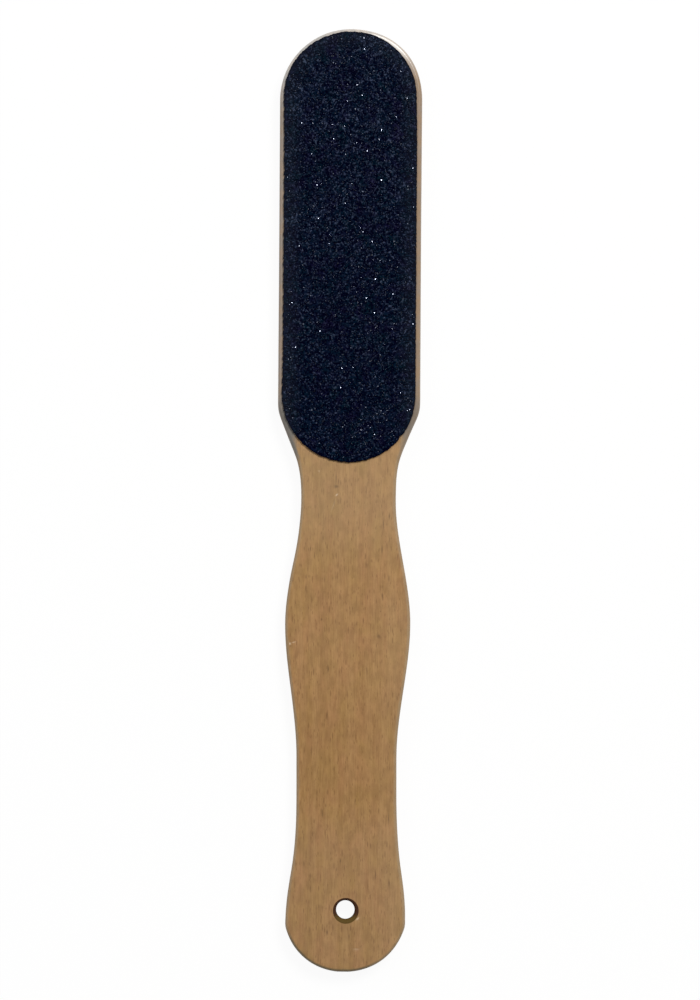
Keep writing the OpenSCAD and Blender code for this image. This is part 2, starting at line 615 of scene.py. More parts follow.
class GroupSketch(Sketch):
    """The sketch of a new node group."""

    def __init__(self, name: str, inputs: dict[str, float], outputs: Iterable[str]) -> None:
        """Starts the group, whose first input is the Place that it is worked out for.

        Args:
            name: its name.
            inputs: the first value of each number that it takes, by name.
            outputs: the names of the numbers that it gives.
        """
        super().__init__(bpy.data.node_groups.new(name, "ShaderNodeTree"))
        sockets = self.tree.interface
        sockets.new_socket(name="Place", in_out="INPUT", socket_type="NodeSocketVector")
        for title, first in inputs.items():
            socket = sockets.new_socket(name=title, in_out="INPUT", socket_type="NodeSocketFloat")
            socket.default_value = first
        for title in outputs:
            sockets.new_socket(name=title, in_out="OUTPUT", socket_type="NodeSocketFloat")
        self.start = self.tree.nodes.new("NodeGroupInput")
        self.end = self.tree.nodes.new("NodeGroupOutput")

    def taken(self, name: str) -> Socket:
        """What the group is given for one of its inputs."""
        return self.start.outputs[name]

    def give(self, name: str, value: Value) -> None:
        """Sets what the group gives for one of its outputs."""
        self.feed(self.end.inputs[name], value)

    def counted(self, *sizes: str) -> Socket:
        """Counts the place in sizes instead of millimetres.

        Args:
            *sizes: the inputs that give the size across the paddle, along it and in its thickness.

        Returns:
            The place in those sizes.
        """
        per_mm = [self.math("DIVIDE", 1.0, self.taken(size)) for size in sizes]
        factors = self.add("CombineXYZ", dict(enumerate(per_mm))).outputs[0]
        return self.scaled(self.taken("Place"), factors)


@dataclass(frozen=True)
class Effects:
    """The node groups that several finishes use.

    Attributes:
        mottle: broad cloudy patches.
        streaks: fine streaks along the paddle.
        specks: separate soft spots.
        wear: an edge's mark with its border broken up.
    """

    mottle: bpy.types.NodeTree
    streaks: bpy.types.NodeTree
    specks: bpy.types.NodeTree
    wear: bpy.types.NodeTree

    @classmethod
    def build(cls) -> "Effects":
        """Makes each group once."""
        return cls(cls._mottle(), cls._streaks(), cls._specks(), cls._wear())

    @staticmethod
    def _mottle() -> bpy.types.NodeTree:
        """Broad cloudy patches, from 0 to 1, of a given width and length along the paddle."""
        s = GroupSketch("Mottle", {"Width": 10.0, "Length": 10.0}, ["Tone"])
        cloud = s.noise(s.counted("Width", "Length", "Width"), detail=3.0, rough=0.55)
        s.give("Tone", s.ramp(cloud, Ramp(0.3, 0.7)))
        return s.tree

    @staticmethod
    def _streaks() -> bpy.types.NodeTree:
        """Fine lengthwise streaks round 0.5, of a given width and length."""
        s = GroupSketch("Streaks", {"Width": 0.3, "Length": 10.0}, ["Streak"])
        s.give("Streak", s.noise(s.counted("Width", "Length", "Width"), detail=4.0, rough=0.65))
        return s.tree

    @staticmethod
    def _specks() -> bpy.types.NodeTree:
        """Separate soft spots, each in some cells of a given width, length and depth."""
        sizes = ("Width", "Length", "Depth")
        inputs = dict.fromkeys(sizes, 1.0) | {"Share": 0.5, "Radius": 0.3}
        s = GroupSketch("Specks", inputs, ["Spot", "Chance"])
        cells = s.add("TexVoronoi", {"Vector": s.counted(*sizes), "Scale": 1.0}, feature="F1")
        chances = s.add("SeparateColor", {0: cells.outputs["Color"]}).outputs
        there = s.math("LESS_THAN", chances[0], s.taken("Share"))
        reach = s.times(s.taken("Radius"), s.ramp(chances[1], Ramp(0.0, 1.0, 0.5, 1.3)))
        near = s.ramp(cells.outputs["Distance"], Ramp(s.times(reach, 0.35), reach, 1.0, 0.0))
        s.give("Spot", s.times(near, there))
        s.give("Chance", chances[2])
        return s.tree

    @staticmethod
    def _wear() -> bpy.types.NodeTree:
        """Rubbed edges: an edge mark whose border is broken up by patches of a given size."""
        s = GroupSketch("Wear", {"Edge": 0.0, "Patch": 1.0, "Ragged": 0.5}, ["Worn"])
        cloud = s.noise(s.counted("Patch", "Patch", "Patch"), detail=3.0, rough=0.6)
        shift = s.times(s.minus(cloud, 0.5), s.taken("Ragged"))
        s.give("Worn", s.ramp(s.plus(s.taken("Edge"), shift), Ramp(0.25, 0.85)))
        return s.tree


@dataclass(frozen=True)
class Figure:
    """One kind of mark that a finish repeats all over.

    Attributes:
        width: how far its marks lie apart across the paddle, in millimetres.
        length: how far they lie apart along it, in millimetres.
        depth: how far they lie apart in its thickness, in millimetres. Only specks have one of their own.
        strength: how much they change the colour at most, from 0 to 1.
        share: how many of the places for a speck have one, from 0 to 1.
        radius: a speck's size, as a share of the distance between specks.
    """

    width: float
    length: float
    depth: float = 1.0
    strength: float = 1.0
    share: float = 1.0
    radius: float = 0.3


@dataclass(frozen=True)
class Fray:
    """How the border of a worn or cut edge is broken up.

    Attributes:
        patch: the size of its patches in millimetres.
        ragged: how far they shift the border, as a share of the edge's mark.
    """

    patch: float
    ragged: float


class Paint(Sketch):
    """The sketch of one material.

    Attributes:
        material: the material.
        effects: the shared node groups.
        place: the spot on the piece in millimetres.
    """

    def __init__(self, name: str, effects: Effects) -> None:
        """Starts a material.

        Args:
            name: its name.
            effects: the shared node groups.
        """
        self.material = bpy.data.materials.new(name)
        self.material.use_nodes = True
        super().__init__(self.material.node_tree)
        self.effects = effects
        self.place = self.scaled(self.add("TexCoord").outputs["Object"], (1 / MM,) * 3)

    def part(self, axis: str) -> Socket:
        """The place's X, Y or Z in millimetres."""
        return self.add("SeparateXYZ", {0: self.place}).outputs[axis]

    def effect(self, tree: bpy.types.NodeTree, **inputs: Value) -> bpy.types.Node:
        """Places a shared node group, with its inputs by name."""
        return self.add("Group", {"Place": self.place} | inputs, node_tree=tree)

    def clouds(self, figure: Figure) -> Socket:
        """Cloudy patches, from 0 to 1."""
        return self.effect(self.effects.mottle, Width=figure.width, Length=figure.length).outputs["Tone"]

    def streaks(self, figure: Figure) -> Socket:
        """Fine lengthwise streaks, round 0.5."""
        return self.effect(self.effects.streaks, Width=figure.width, Length=figure.length).outputs["Streak"]

    def specks(self, figure: Figure) -> bpy.types.Node:
        """The group of separate specks."""
        names = ("Width", "Length", "Depth", "Share", "Radius")
        return self.effect(self.effects.specks, **{name: getattr(figure, name.lower()) for name in names})

    def frayed(self, mark: Mark, fray: Fray) -> Socket:
        """An edge's mark with its border broken up."""
        inputs = {"Edge": self.mark(mark), "Patch": fray.patch, "Ragged": fray.ragged}
        return self.effect(self.effects.wear, **inputs).outputs["Worn"]


@dataclass(frozen=True)
class Look:
    """What a finish shows at each spot.

    Attributes:
        tone: its colour.
        roughness: its roughness.
        height: the height of its fine relief, from about 0 to 1.
        metal: how much it reflects as metal does.
    """

    tone: Value
    roughness: Value
    height: Value
    metal: Value = 0.0


@dataclass(frozen=True, kw_only=True)
class Finish(ABC):
    """One material's look, with its measures in millimetres.

    Attributes:
        name: the material's name.
        shine: the strength of its surface's reflections, as the shader's specular level.
        relief: how strongly its fine relief shows.
        relief_depth: how deep that relief is.
    """

    name: str
    shine: float
    relief: float
    relief_depth: float

    def material(self, effects: Effects) -> bpy.types.Material:
        """Builds the material.

        Args:
            effects: the shared node groups.

        Returns:
            The material.
        """
        s = Paint(self.name, effects)
        look = self.draw(s)
        depth = self.relief_depth * MM
        bump = s.add("Bump", {"Height": look.height, "Strength": self.relief, "Distance": depth})
        surface = s.tree.nodes["Principled BSDF"].inputs
        s.feed(surface["Base Color"], look.tone)
        s.feed(surface["Roughness"], look.roughness)
        s.feed(surface["Metallic"], look.metal)
        s.feed(surface["Normal"], bump.outputs[0])
        surface["Specular IOR Level"].default_value = self.shine
        return s.material

    @abstractmethod
    def draw(self, s: Paint) -> Look:
        """Adds the finish's own nodes.

        Args:
            s: the material's sketch.

        Returns:
            What it shows.
        """


@dataclass(frozen=True)
class Wash:
    """A tone that lies thinly over part of the wood.

    Attributes:
        tone: its colour.
        rise: how much of it shows, over millimetres up the paddle.
        fall: how it fades again, over millimetres up the paddle.
        side: how it sets in, over millimetres across the paddle.
    """

    tone: Colour
    rise: Ramp
    fall: Ramp | None = None
    side: Ramp | None = None

    def layer(self, s: Paint) -> tuple[Socket, Colour]:
        """How much of the wash shows, and its colour.

        Args:
            s: the material's sketch.

        Returns:
            The layer to lay over the wood.
        """
        share = s.ramp(s.part("Y"), self.rise)
        for axis, step in (("Y", self.fall), ("X", self.side)):
            if step:
                share = s.times(share, s.ramp(s.part(axis), step))
        return share, self.tone


@dataclass(frozen=True, kw_only=True)
class Beech(Finish):
    """Flat-sawn steamed beech, sanded and left bare."""

    name: str = "beech"
    shine: float = 0.4
    relief: float = 0.35
    relief_depth: float = 0.02

    # The wood's own tones
    pale: Colour = (0.429, 0.246, 0.0938)
    plain: Colour = (0.368, 0.195, 0.0645)
    pink: Colour = (0.404, 0.187, 0.0790)
    olive: Colour = (0.328, 0.197, 0.0468)
    fleck: Colour = (0.160, 0.073, 0.0190)
    knotty: Colour = (0.088, 0.038, 0.008)
    raw: Colour = (0.660, 0.510, 0.350)

    # Its rays, pores, fibres and patches, and how much of a tone they bring
    rays: Figure = Figure(0.60, 3.0, 2.7, strength=0.86, share=0.37, radius=0.36)
    pores: Figure = Figure(0.40, 1.5, 1.35, strength=0.50, share=0.34, radius=0.38)
    fibres: Figure = Figure(0.32, 5.0, strength=0.28)
    bands: Figure = Figure(2.0, 60.0)
    patches: Figure = Figure(4.6, 9.0, strength=0.44)
    clouding: Figure = Figure(1.8, 3.2, strength=0.33)
    banding: Ramp = Ramp(0.3, 0.7, 0.0, 0.60)
    dark_fibres: Ramp = Ramp(0.62, 0.3, 0.0, 0.28)
    pale_fibres: Ramp = Ramp(0.5, 0.75, 0.0, 0.28)
    ray_tones: Ramp = Ramp(0.0, 1.0, 0.172, 0.86)
    knotty_share: float = 0.9

    # Its growth rings
    ring_strength: float = 0.12
    ring_gap: float = 2.6
    ring_sway: float = 3.0
    ring_tilt: float = math.radians(0.5)
    pith: tuple[float, float, float] = (7.0, 0.0, -58.0)
    sway_scale: tuple[float, float, float] = (0.05, 0.012, 0.05)
    late_wood: Ramp = Ramp(0.55, 0.95)
    ring_end: Ramp = Ramp(0.95, 1.0, 1.0, 0.0)

    # Tones that lie over part of its length
    washes: tuple[Wash, ...] = (
        # The first wash, paler from the handle's middle up, is partly the wood's tone and partly painted
        # light, brighter towards the head
        Wash((0.455, 0.345, 0.192), Ramp(-24.0, 0.0, 0.0, 0.17)),
        Wash((0.220, 0.096, 0.006), Ramp(-38.0, -66.0, 0.0, 0.13), fall=Ramp(-80.0, -94.0, 1.0, 0.0)),
        Wash((0.300, 0.205, 0.135), Ramp(-84.0, -100.0, 0.0, 0.12)),
        Wash((0.450, 0.345, 0.200), Ramp(-18.0, -34.0, 0.0, 0.08), side=Ramp(5.0, 15.0)),
    )

    # Its rubbed and dusty edge with painted sheen, painted shade at the shoulders and the end, and a
    # painted highlight at the tip
    edge_fray: Fray = Fray(1.4, 0.5)
    # The edge's tones: dust and wear, greyer and lighter than the wood as painted sheen on the rounding
    dusty: Colour = (0.262, 0.228, 0.200)
    tanned: Colour = (0.335, 0.231, 0.146)
    handled: Colour = (0.340, 0.260, 0.165)
    # Painted shade on the shoulders' rounded edge, which turns away from the lamps
    shoulder_shade: Colour = (0.165, 0.162, 0.150)
    # Painted shade on the rounded edge round the handle's end, which turns away from the lamps
    end_shade: Colour = (0.156, 0.120, 0.065)
    # The tip's pale edge, partly wear and partly painted sheen, and its lit right side, paler still with a
    # painted highlight
    tip_wear_and_sheen: Colour = (0.400, 0.398, 0.385)
    tip_wear_and_highlight: Colour = (0.600, 0.525, 0.460)
    # A painted highlight on the lit rounded edge beside the pad, at the tip's right
    painted_highlight: Colour = (0.800, 0.770, 0.730)
    dust: Figure = Figure(2.2, 3.2, strength=0.6)
    # More of the paler, warmer tones towards the right: painted light on the side that the key lamp lights
    dust_and_light_to_right: Ramp = Ramp(-12.0, 20.0, 0.0, 0.4)
    head_rise: Ramp = Ramp(*HEAD_RISE)
    end_rise: Ramp = Ramp(-117.0, -125.0)
    end_to_right: Ramp = Ramp(4.0, 12.0, 1.0, 0.4)
    shoulder_rise: Ramp = Ramp(8.0, 14.0)
    shoulder_fall: Ramp = Ramp(24.0, 31.0, 1.0, 0.0)
    shoulder_to_right: Ramp = Ramp(-8.0, 14.0, 1.0, 0.6)
    tip_rise: Ramp = Ramp(112.0, 126.0)
    tip_slant: float = -0.25
    head_cover: Ramp = Ramp(0.0, 1.0, 0.5, 0.92)
    end_cover: float = 0.85
    shoulder_cover: float = 0.9

    # The dark ring round its hole: partly scorch, partly painted shade, painted lighter on the wall that
    # faces the lamps
    bore_fray: Fray = Fray(0.7, 0.35)
    bore_rise: Ramp = Ramp(0.0, 0.75)
    lit_wall_rise: Ramp = Ramp(-115.8, -117.6)
    # Partly scorch, partly painted shade in and round the bore
    scorch_and_shade: Colour = (0.045, 0.012, 0.0005)
    # Painted light on the bore's wall on the handle's side, which faces the lamps
    lit_bore_wall: Colour = (0.090, 0.050, 0.004)

    # Its roughness and relief
    fibre_roughness: Ramp = Ramp(0.25, 0.75, 0.43, 0.59)
    head_smoothness: float = 0.26
    bore_roughness: float = 0.35
    fibre_height: float = 0.6
    ray_height: float = 0.9

    def draw(self, s: Paint) -> Look:
        """Adds the wood, its washes, its worn edges with their painted sheen, shade and highlight, the
        hole's scorch and painted shade, and the dents.

        Args:
            s: the material's sketch.

        Returns:
            What the wood shows.
        """
        fibres = s.streaks(self.fibres)
        rays = s.specks(self.rays).outputs
        rays = s.times(rays["Spot"], s.ramp(rays["Chance"], self.ray_tones))
        pores = s.times(s.specks(self.pores).outputs["Spot"], self.pores.strength)
        at_head = s.ramp(s.part("Y"), self.head_rise)
        worn = s.frayed(Mark.EASED, self.edge_fray)
        edge_wear_and_light, cover = self._edge_wear_and_light(s, at_head)
        # The hole's dark ring, partly scorch and partly painted shade, painted lighter on the wall that
        # faces the lamps
        scorch_and_shade_mark = s.ramp(s.frayed(Mark.BORED, self.bore_fray), self.bore_rise)
        bore_tone = s.blend(s.ramp(s.part("Y"), self.lit_wall_rise), self.scorch_and_shade, self.lit_bore_wall)
        tone = s.layers(
            s.blend(s.clouds(self.patches), self.pink, self.olive),
            (1 - self.patches.strength, self.plain),
            (s.ramp(s.streaks(self.bands), self.banding), self.pale),
            (s.times(s.clouds(self.clouding), self.clouding.strength), self.fleck),
            (s.ramp(fibres, self.dark_fibres), self.fleck),
            (s.ramp(fibres, self.pale_fibres), self.pale),
            (s.times(self._rings(s), self.ring_strength), self.fleck),
            (rays, self.fleck),
            (pores, self.fleck),
            (s.times(s.mark(Mark.STAINED), self.knotty_share), self.knotty),
            *(wash.layer(s) for wash in self.washes),
            # The edge's wear with painted sheen and shade, then a painted highlight, then the hole's scorch
            # and painted shade
            (s.times(worn, cover), edge_wear_and_light),
            (s.mark(Mark.POLISH_AND_HIGHLIGHT), self.painted_highlight),
            (scorch_and_shade_mark, bore_tone),
            (s.mark(Mark.NICKED), self.raw),
        )
        roughness = s.ramp(fibres, self.fibre_roughness)
        roughness = s.minus(roughness, s.times(s.times(worn, at_head), self.head_smoothness))
        roughness = s.plus(roughness, s.times(scorch_and_shade_mark, self.bore_roughness))
        height = s.minus(s.times(fibres, self.fibre_height), s.times(rays, self.ray_height))
        return Look(tone, roughness, s.minus(height, pores))

    def _edge_wear_and_light(self, s: Paint, at_head: Socket) -> tuple[Socket, Socket]:
        """The eased edge: dusty with painted sheen, pale at the tip with painted sheen and highlight,
        painted shade at the shoulders and the end, and painted light that makes it paler to the right.

        Args:
            s: the material's sketch.
            at_head: 1 on the head and 0 on the handle.

        Returns:
            The edge's colour, and how much of it covers the wood.
        """
        across, along = s.part("X"), s.part("Y")
        at_end = s.times(s.ramp(along, self.end_rise), s.ramp(across, self.end_to_right))
        at_shoulder = s.times(s.ramp(along, self.shoulder_rise), s.ramp(along, self.shoulder_fall))
        at_shoulder = s.times(at_shoulder, s.ramp(across, self.shoulder_to_right))
        at_tip = s.ramp(s.plus(along, s.times(across, self.tip_slant)), self.tip_rise)
        dust = s.times(s.clouds(self.dust), self.dust.strength)
        # Dust patches, and painted light that grows towards the lit right side
        dust = s.plus(dust, s.ramp(across, self.dust_and_light_to_right))
        tone = s.layers(
            self.handled,
            (at_head, s.blend(dust, self.dusty, self.tanned)),
            (at_shoulder, self.shoulder_shade),
            (at_end, self.end_shade),
            (at_tip, s.blend(dust, self.tip_wear_and_sheen, self.tip_wear_and_highlight)),
        )
        cover = s.larger(s.ramp(at_head, self.head_cover), s.times(at_end, self.end_cover))
        return tone, s.larger(cover, s.times(at_shoulder, self.shoulder_cover))

    def _rings(self, s: Paint) -> Socket:
        """Growth rings round a pith that lies below the board.

        Args:
            s: the material's sketch.

        Returns:
            1 on the dark line of each ring, 0 between.
        """
        from_pith = s.add("Mapping", {"Vector": s.place, "Location": tuple(-v for v in self.pith)})
        from_pith.inputs["Rotation"].default_value = (self.ring_tilt, 0.0, 0.0)
        sideways = s.scaled(from_pith.outputs[0], (1.0, 0.0, 1.0))
        distance = s.add("VectorMath", {0: sideways}, operation="LENGTH").outputs["Value"]
        sway = s.noise(s.scaled(s.place, self.sway_scale))
        distance = s.plus(distance, s.times(sway, self.ring_sway))
        turn = s.math("FRACT", s.math("DIVIDE", distance, self.ring_gap))
        return s.times(s.ramp(turn, self.late_wood), s.ramp(turn, self.ring_end))


@dataclass(frozen=True, kw_only=True)
class Grit(Finish):
    """Dark silicon carbide grains in resin.

    Attributes:
        low: the height of the resin between the grains.
        high: the height of the highest grain.
        centre: how far up the paddle its round upper end has its centre.
        radius: that end's radius.
        worn_length: how far below that centre the grains are most worn, in radii.
        contrast: the power that the grains' brightness is raised to, at that centre and where most worn.
    """

    low: float
    high: float
    centre: float
    radius: float
    shine: float = 0.005
    relief: float = 0.3
    relief_depth: float = 0.03

    # The grains, from dull to bright
    grain: Colour = (0.0017, 0.0071, 0.0215)
    bright: Colour = (0.0680, 0.0890, 0.1530)
    lit: Ramp = Ramp(0.2, 1.0)
    worn_length: float = 4.5
    contrast: Span = (0.92, 1.6)

    # Their tints
    violet: Colour = (0.0075, 0.0014, 0.0215)
    teal: Colour = (0.0003, 0.0100, 0.0150)
    hues: Figure = Figure(3.6, 3.6)
    patches: Figure = Figure(5.0, 6.0)
    tinting: Ramp = Ramp(0.0, 1.0, 0.2, 0.55)

    # The resin between them and on the cut rim
    resin: Colour = (0.0001, 0.0002, 0.0070)
    sunk: Ramp = Ramp(0.12, 0.7, 1.0, 0.0)
    cut_fray: Fray = Fray(0.5, 0.5)

    # The dust that thickens towards the rim
    dust: Colour = (0.0880, 0.1060, 0.1200)
    dust_from: float = 0.66
    dust_share: float = 0.065

    # The crystals that shine
    crystal: Colour = (0.1600, 0.1780, 0.2230)
    crystal_gloss: Ramp = Ramp(0.0, 1.0, 1.0, 0.6)
    crystal_roughness: float = 0.13

    # Roughness and relief
    roughness: float = 0.11
    shade_roughness: Span = (0.15, -0.07)
    sunk_roughness: Ramp = Ramp(0.0, 0.6, 0.3, 0.0)
    cut_roughness: float = 0.3
    chip_scale: float = 9.0

    def draw(self, s: Paint) -> Look:
        """Adds the grains' shades and tints, the resin, the dust at the rim and the bright crystals.

        Args:
            s: the material's sketch.

        Returns:
            What the coat shows.
        """
        shade, polish_and_highlight = s.mark(Mark.SHADE), s.mark(Mark.POLISH_AND_HIGHLIGHT)
        across, along = s.part("X"), s.part("Y")
        rise = s.ramp(s.part("Z"), Ramp(self.low, self.high))
        most_worn = self.centre - self.worn_length * self.radius
        contrast = s.ramp(along, Ramp(self.centre, most_worn, *self.contrast))
        cut = s.frayed(Mark.CUT, self.cut_fray)
        past = s.larger(s.minus(along, self.centre), 0.0)
        from_spine = s.math("SQRT", s.plus(s.times(across, across), s.times(past, past)))
        dusting = Ramp(self.dust_from * self.radius, self.radius, 0.0, self.dust_share)
        tint = s.blend(s.clouds(self.hues), self.violet, self.teal)
        tone = s.layers(
            self.grain,
            (s.math("POWER", s.ramp(shade, self.lit), contrast), self.bright),
            (s.ramp(s.clouds(self.patches), self.tinting), tint),
            (s.ramp(rise, self.sunk), self.resin),
            (cut, self.resin),
            (s.ramp(from_spine, dusting), self.dust),
            (polish_and_highlight, self.crystal),
        )
        dull, lit = (self.roughness + change for change in self.shade_roughness)
        roughness = s.ramp(shade, Ramp(0.0, 1.0, dull, lit))
        roughness = s.plus(roughness, s.ramp(rise, self.sunk_roughness))
        roughness = s.plus(roughness, s.times(cut, self.cut_roughness))
        roughness = s.times(roughness, s.ramp(polish_and_highlight, self.crystal_gloss))
        roughness = s.larger(roughness, s.times(polish_and_highlight, self.crystal_roughness))
        return Look(tone, roughness, s.noise(s.place, self.chip_scale), polish_and_highlight)


@dataclass(frozen=True, kw_only=True)
class BackingPaper(Finish):
    """Heavy dark paper, with paler torn fibres along its cut edge."""

    name: str = "backing_paper"
    shine: float = 0.3
    relief: float = 0.5
    relief_depth: float = 0.03

    face: Colour = (0.045, 0.032, 0.024)
    edge: Colour = (0.030, 0.020, 0.016)
    fibre: Colour = (0.150, 0.105, 0.075)
    patches: Figure = Figure(2.5, 3.5, strength=0.5)
    fibres: Figure = Figure(0.35, 0.6, 0.12, strength=0.45, share=0.35, radius=0.4)
    fibre_height: float = 0.5
    plies_scale: tuple[float, float, float] = (1.5, 1.5, 14.0)
    plies_roughness: Ramp = Ramp(0.3, 0.7, 0.78, 0.95)
    cut_fray: Fray = Fray(0.8, 0.4)
    cut_share: float = 0.6

    def draw(self, s: Paint) -> Look:
        """Adds the paper's patches, its plies and its torn fibres.

        Args:
            s: the material's sketch.

        Returns:
            What the paper shows.
        """
        plies = s.noise(s.scaled(s.place, self.plies_scale), detail=3.0)
        fibres = s.specks(self.fibres).outputs["Spot"]
        tone = s.layers(
            self.face,
            (s.times(s.clouds(self.patches), self.patches.strength), self.edge),
            (s.times(s.frayed(Mark.CUT, self.cut_fray), self.cut_share), self.edge),
            (s.times(fibres, self.fibres.strength), self.fibre),
        )
        height = s.plus(plies, s.times(fibres, self.fibre_height))
        return Look(tone, s.ramp(plies, self.plies_roughness), height)


@dataclass(frozen=True, kw_only=True)
class GlueFilm(Finish):
    """Clear yellowish contact adhesive, squeezed out to an uneven glossy edge."""

    name: str = "glue_film"
    shine: float = 0.5
    relief: float = 0.4
    relief_depth: float = 0.04

    clear: Colour = (0.550, 0.430, 0.240)
    dusty: Colour = (0.300, 0.235, 0.150)
    patches: Figure = Figure(1.6, 4.0, strength=0.6)
    dust: Figure = Figure(0.5, 0.5, 0.5, strength=0.5, share=0.4, radius=0.35)
    patch_roughness: Ramp = Ramp(0.0, 1.0, 0.18, 0.4)

    def draw(self, s: Paint) -> Look:
        """Adds the glue's cloudy patches and the dust that sticks to it.

        Args:
            s: the material's sketch.

        Returns:
            What the glue shows.
        """
        patches = s.clouds(self.patches)
        tone = s.layers(
            self.clear,
            (s.times(patches, self.patches.strength), self.dusty),
            (s.times(s.specks(self.dust).outputs["Spot"], self.dust.strength), self.dusty),
        )
        return Look(tone, s.ramp(patches, self.patch_roughness), patches)


@dataclass
class Piece(ABC):
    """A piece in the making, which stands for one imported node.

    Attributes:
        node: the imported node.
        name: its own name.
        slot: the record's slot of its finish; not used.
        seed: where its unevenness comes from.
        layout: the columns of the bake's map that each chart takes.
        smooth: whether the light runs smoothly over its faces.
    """

    node: str
    name: str
    slot: Slot
    seed: int

    layout: ClassVar[Layout]
    smooth: ClassVar[bool] = False

    def __post_init__(self) -> None:
        """Starts its mesh and its random draws, and looks up its heights."""
        self.rng = np.random.default_rng(self.seed)
        self.shell = Shell()
        self.low, self.high = (corner.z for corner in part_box(self.node))

    def build(self, material: bpy.types.Material) -> None:
        """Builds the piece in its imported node's place.

        Args:
            material: its material.
        """
        self.shape()
        made = self.shell.make(self.name, self.layout, self.smooth)
        made.data.materials.append(material)
        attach(made, ROOT)
        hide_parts(self.node)
        log.info("%s: %d faces in the place of %s", made.name, len(made.data.polygons), self.node)

    @abstractmethod
    def shape(self) -> None:
        """Adds its points and faces to its mesh."""


@dataclass(frozen=True)
class Blemish:
    """A small flaw on the paddle's upper face, measured in millimetres.

    Attributes:
        mark: what it tells the wood: a dark fleck or a dent.
        x: its middle, from the paddle's axis.
        from_tip: its middle, from the tip.
        length: its length.
        width: its width.
        turn: the angle from the paddle's length to its own, anticlockwise, in degrees.
        depth: how deep it is.
        strength: how much it changes the colour, from 0 to 1.
        SHARPNESS: how steeply it fades towards its rim.
        FAINTEST: the nearness that is the least to count.
        REACH: how far from its middle it counts at all, in lengths.
        SPOTS_ACROSS: how many of the mesh's points fit across it.
        MARGIN: how far its points stay inside the face's border, in point distances.
    """

    mark: Mark
    x: float
    from_tip: float
    length: float
    width: float
    turn: float
    depth: float
    strength: float

    SHARPNESS: ClassVar[float] = 2.5
    FAINTEST: ClassVar[float] = 0.01
    REACH: ClassVar[float] = 0.75
    SPOTS_ACROSS: ClassVar[float] = 3.2
    MARGIN: ClassVar[float] = 0.4

    def nearness(self, spots: np.ndarray) -> np.ndarray:
        """How deep in the blemish each spot lies.

        Args:
            spots: x and y of each.

        Returns:
            1 in its middle, falling to nearly 0 past its rim.
        """
        turn = math.radians(self.turn)
        apart = (spots - on_paddle(self.x, self.from_tip)) / MM
        along = -math.sin(turn) * apart[:, 0] + math.cos(turn) * apart[:, 1]
        across = math.cos(turn) * apart[:, 0] + math.sin(turn) * apart[:, 1]
        square = (2 * along / self.length) ** 2 + (2 * across / self.width) ** 2
        return np.exp(-self.SHARPNESS * square)

    def meshed(self, spots: np.ndarray, border: Outline, coarsest: float) -> np.ndarray:
        """Puts close-set spots over it, so that the mesh can show its shape.

        Args:
            spots: x and y of the face's spots so far.
            border: the line round the face.
            coarsest: the greatest distance between the new spots.

        Returns:
            The spots, with those near the blemish replaced.
        """
        middle = on_paddle(self.x, self.from_tip)
        reach = self.REACH * self.length * MM
        pitch = min(self.width * MM / self.SPOTS_ACROSS, coarsest)
        close = np.abs(spots - middle).max(axis=1) < reach
        near = self.nearness(spots) > self.FAINTEST
        side = np.arange(-reach, reach, pitch)
        x, y = np.meshgrid(side, side)
        x[1::2] += pitch / 2
        patch = np.stack([x.ravel(), y.ravel()], axis=1) + middle
        patch = patch[self.nearness(patch) > self.FAINTEST]
        inside = np.abs(patch[:, 0]) < border.inset(self.MARGIN * pitch).half_width(patch[:, 1])
        return np.vstack([spots[~(near & close)], patch[inside]])


def stain(
    x: float, from_tip: float, length: float, width: float, strength: float = 1.0, turn: float = 0.0
) -> Blemish:
    """A flat dark fleck."""
    return Blemish(Mark.STAINED, x, from_tip, length, width, turn, 0.0, strength)


def nick(
    x: float, from_tip: float, length: float, width: float, turn: float, depth: float, strength: float
) -> Blemish:
    """A dent that shows raw wood."""
    return Blemish(Mark.NICKED, x, from_tip, length, width, turn, depth, strength)


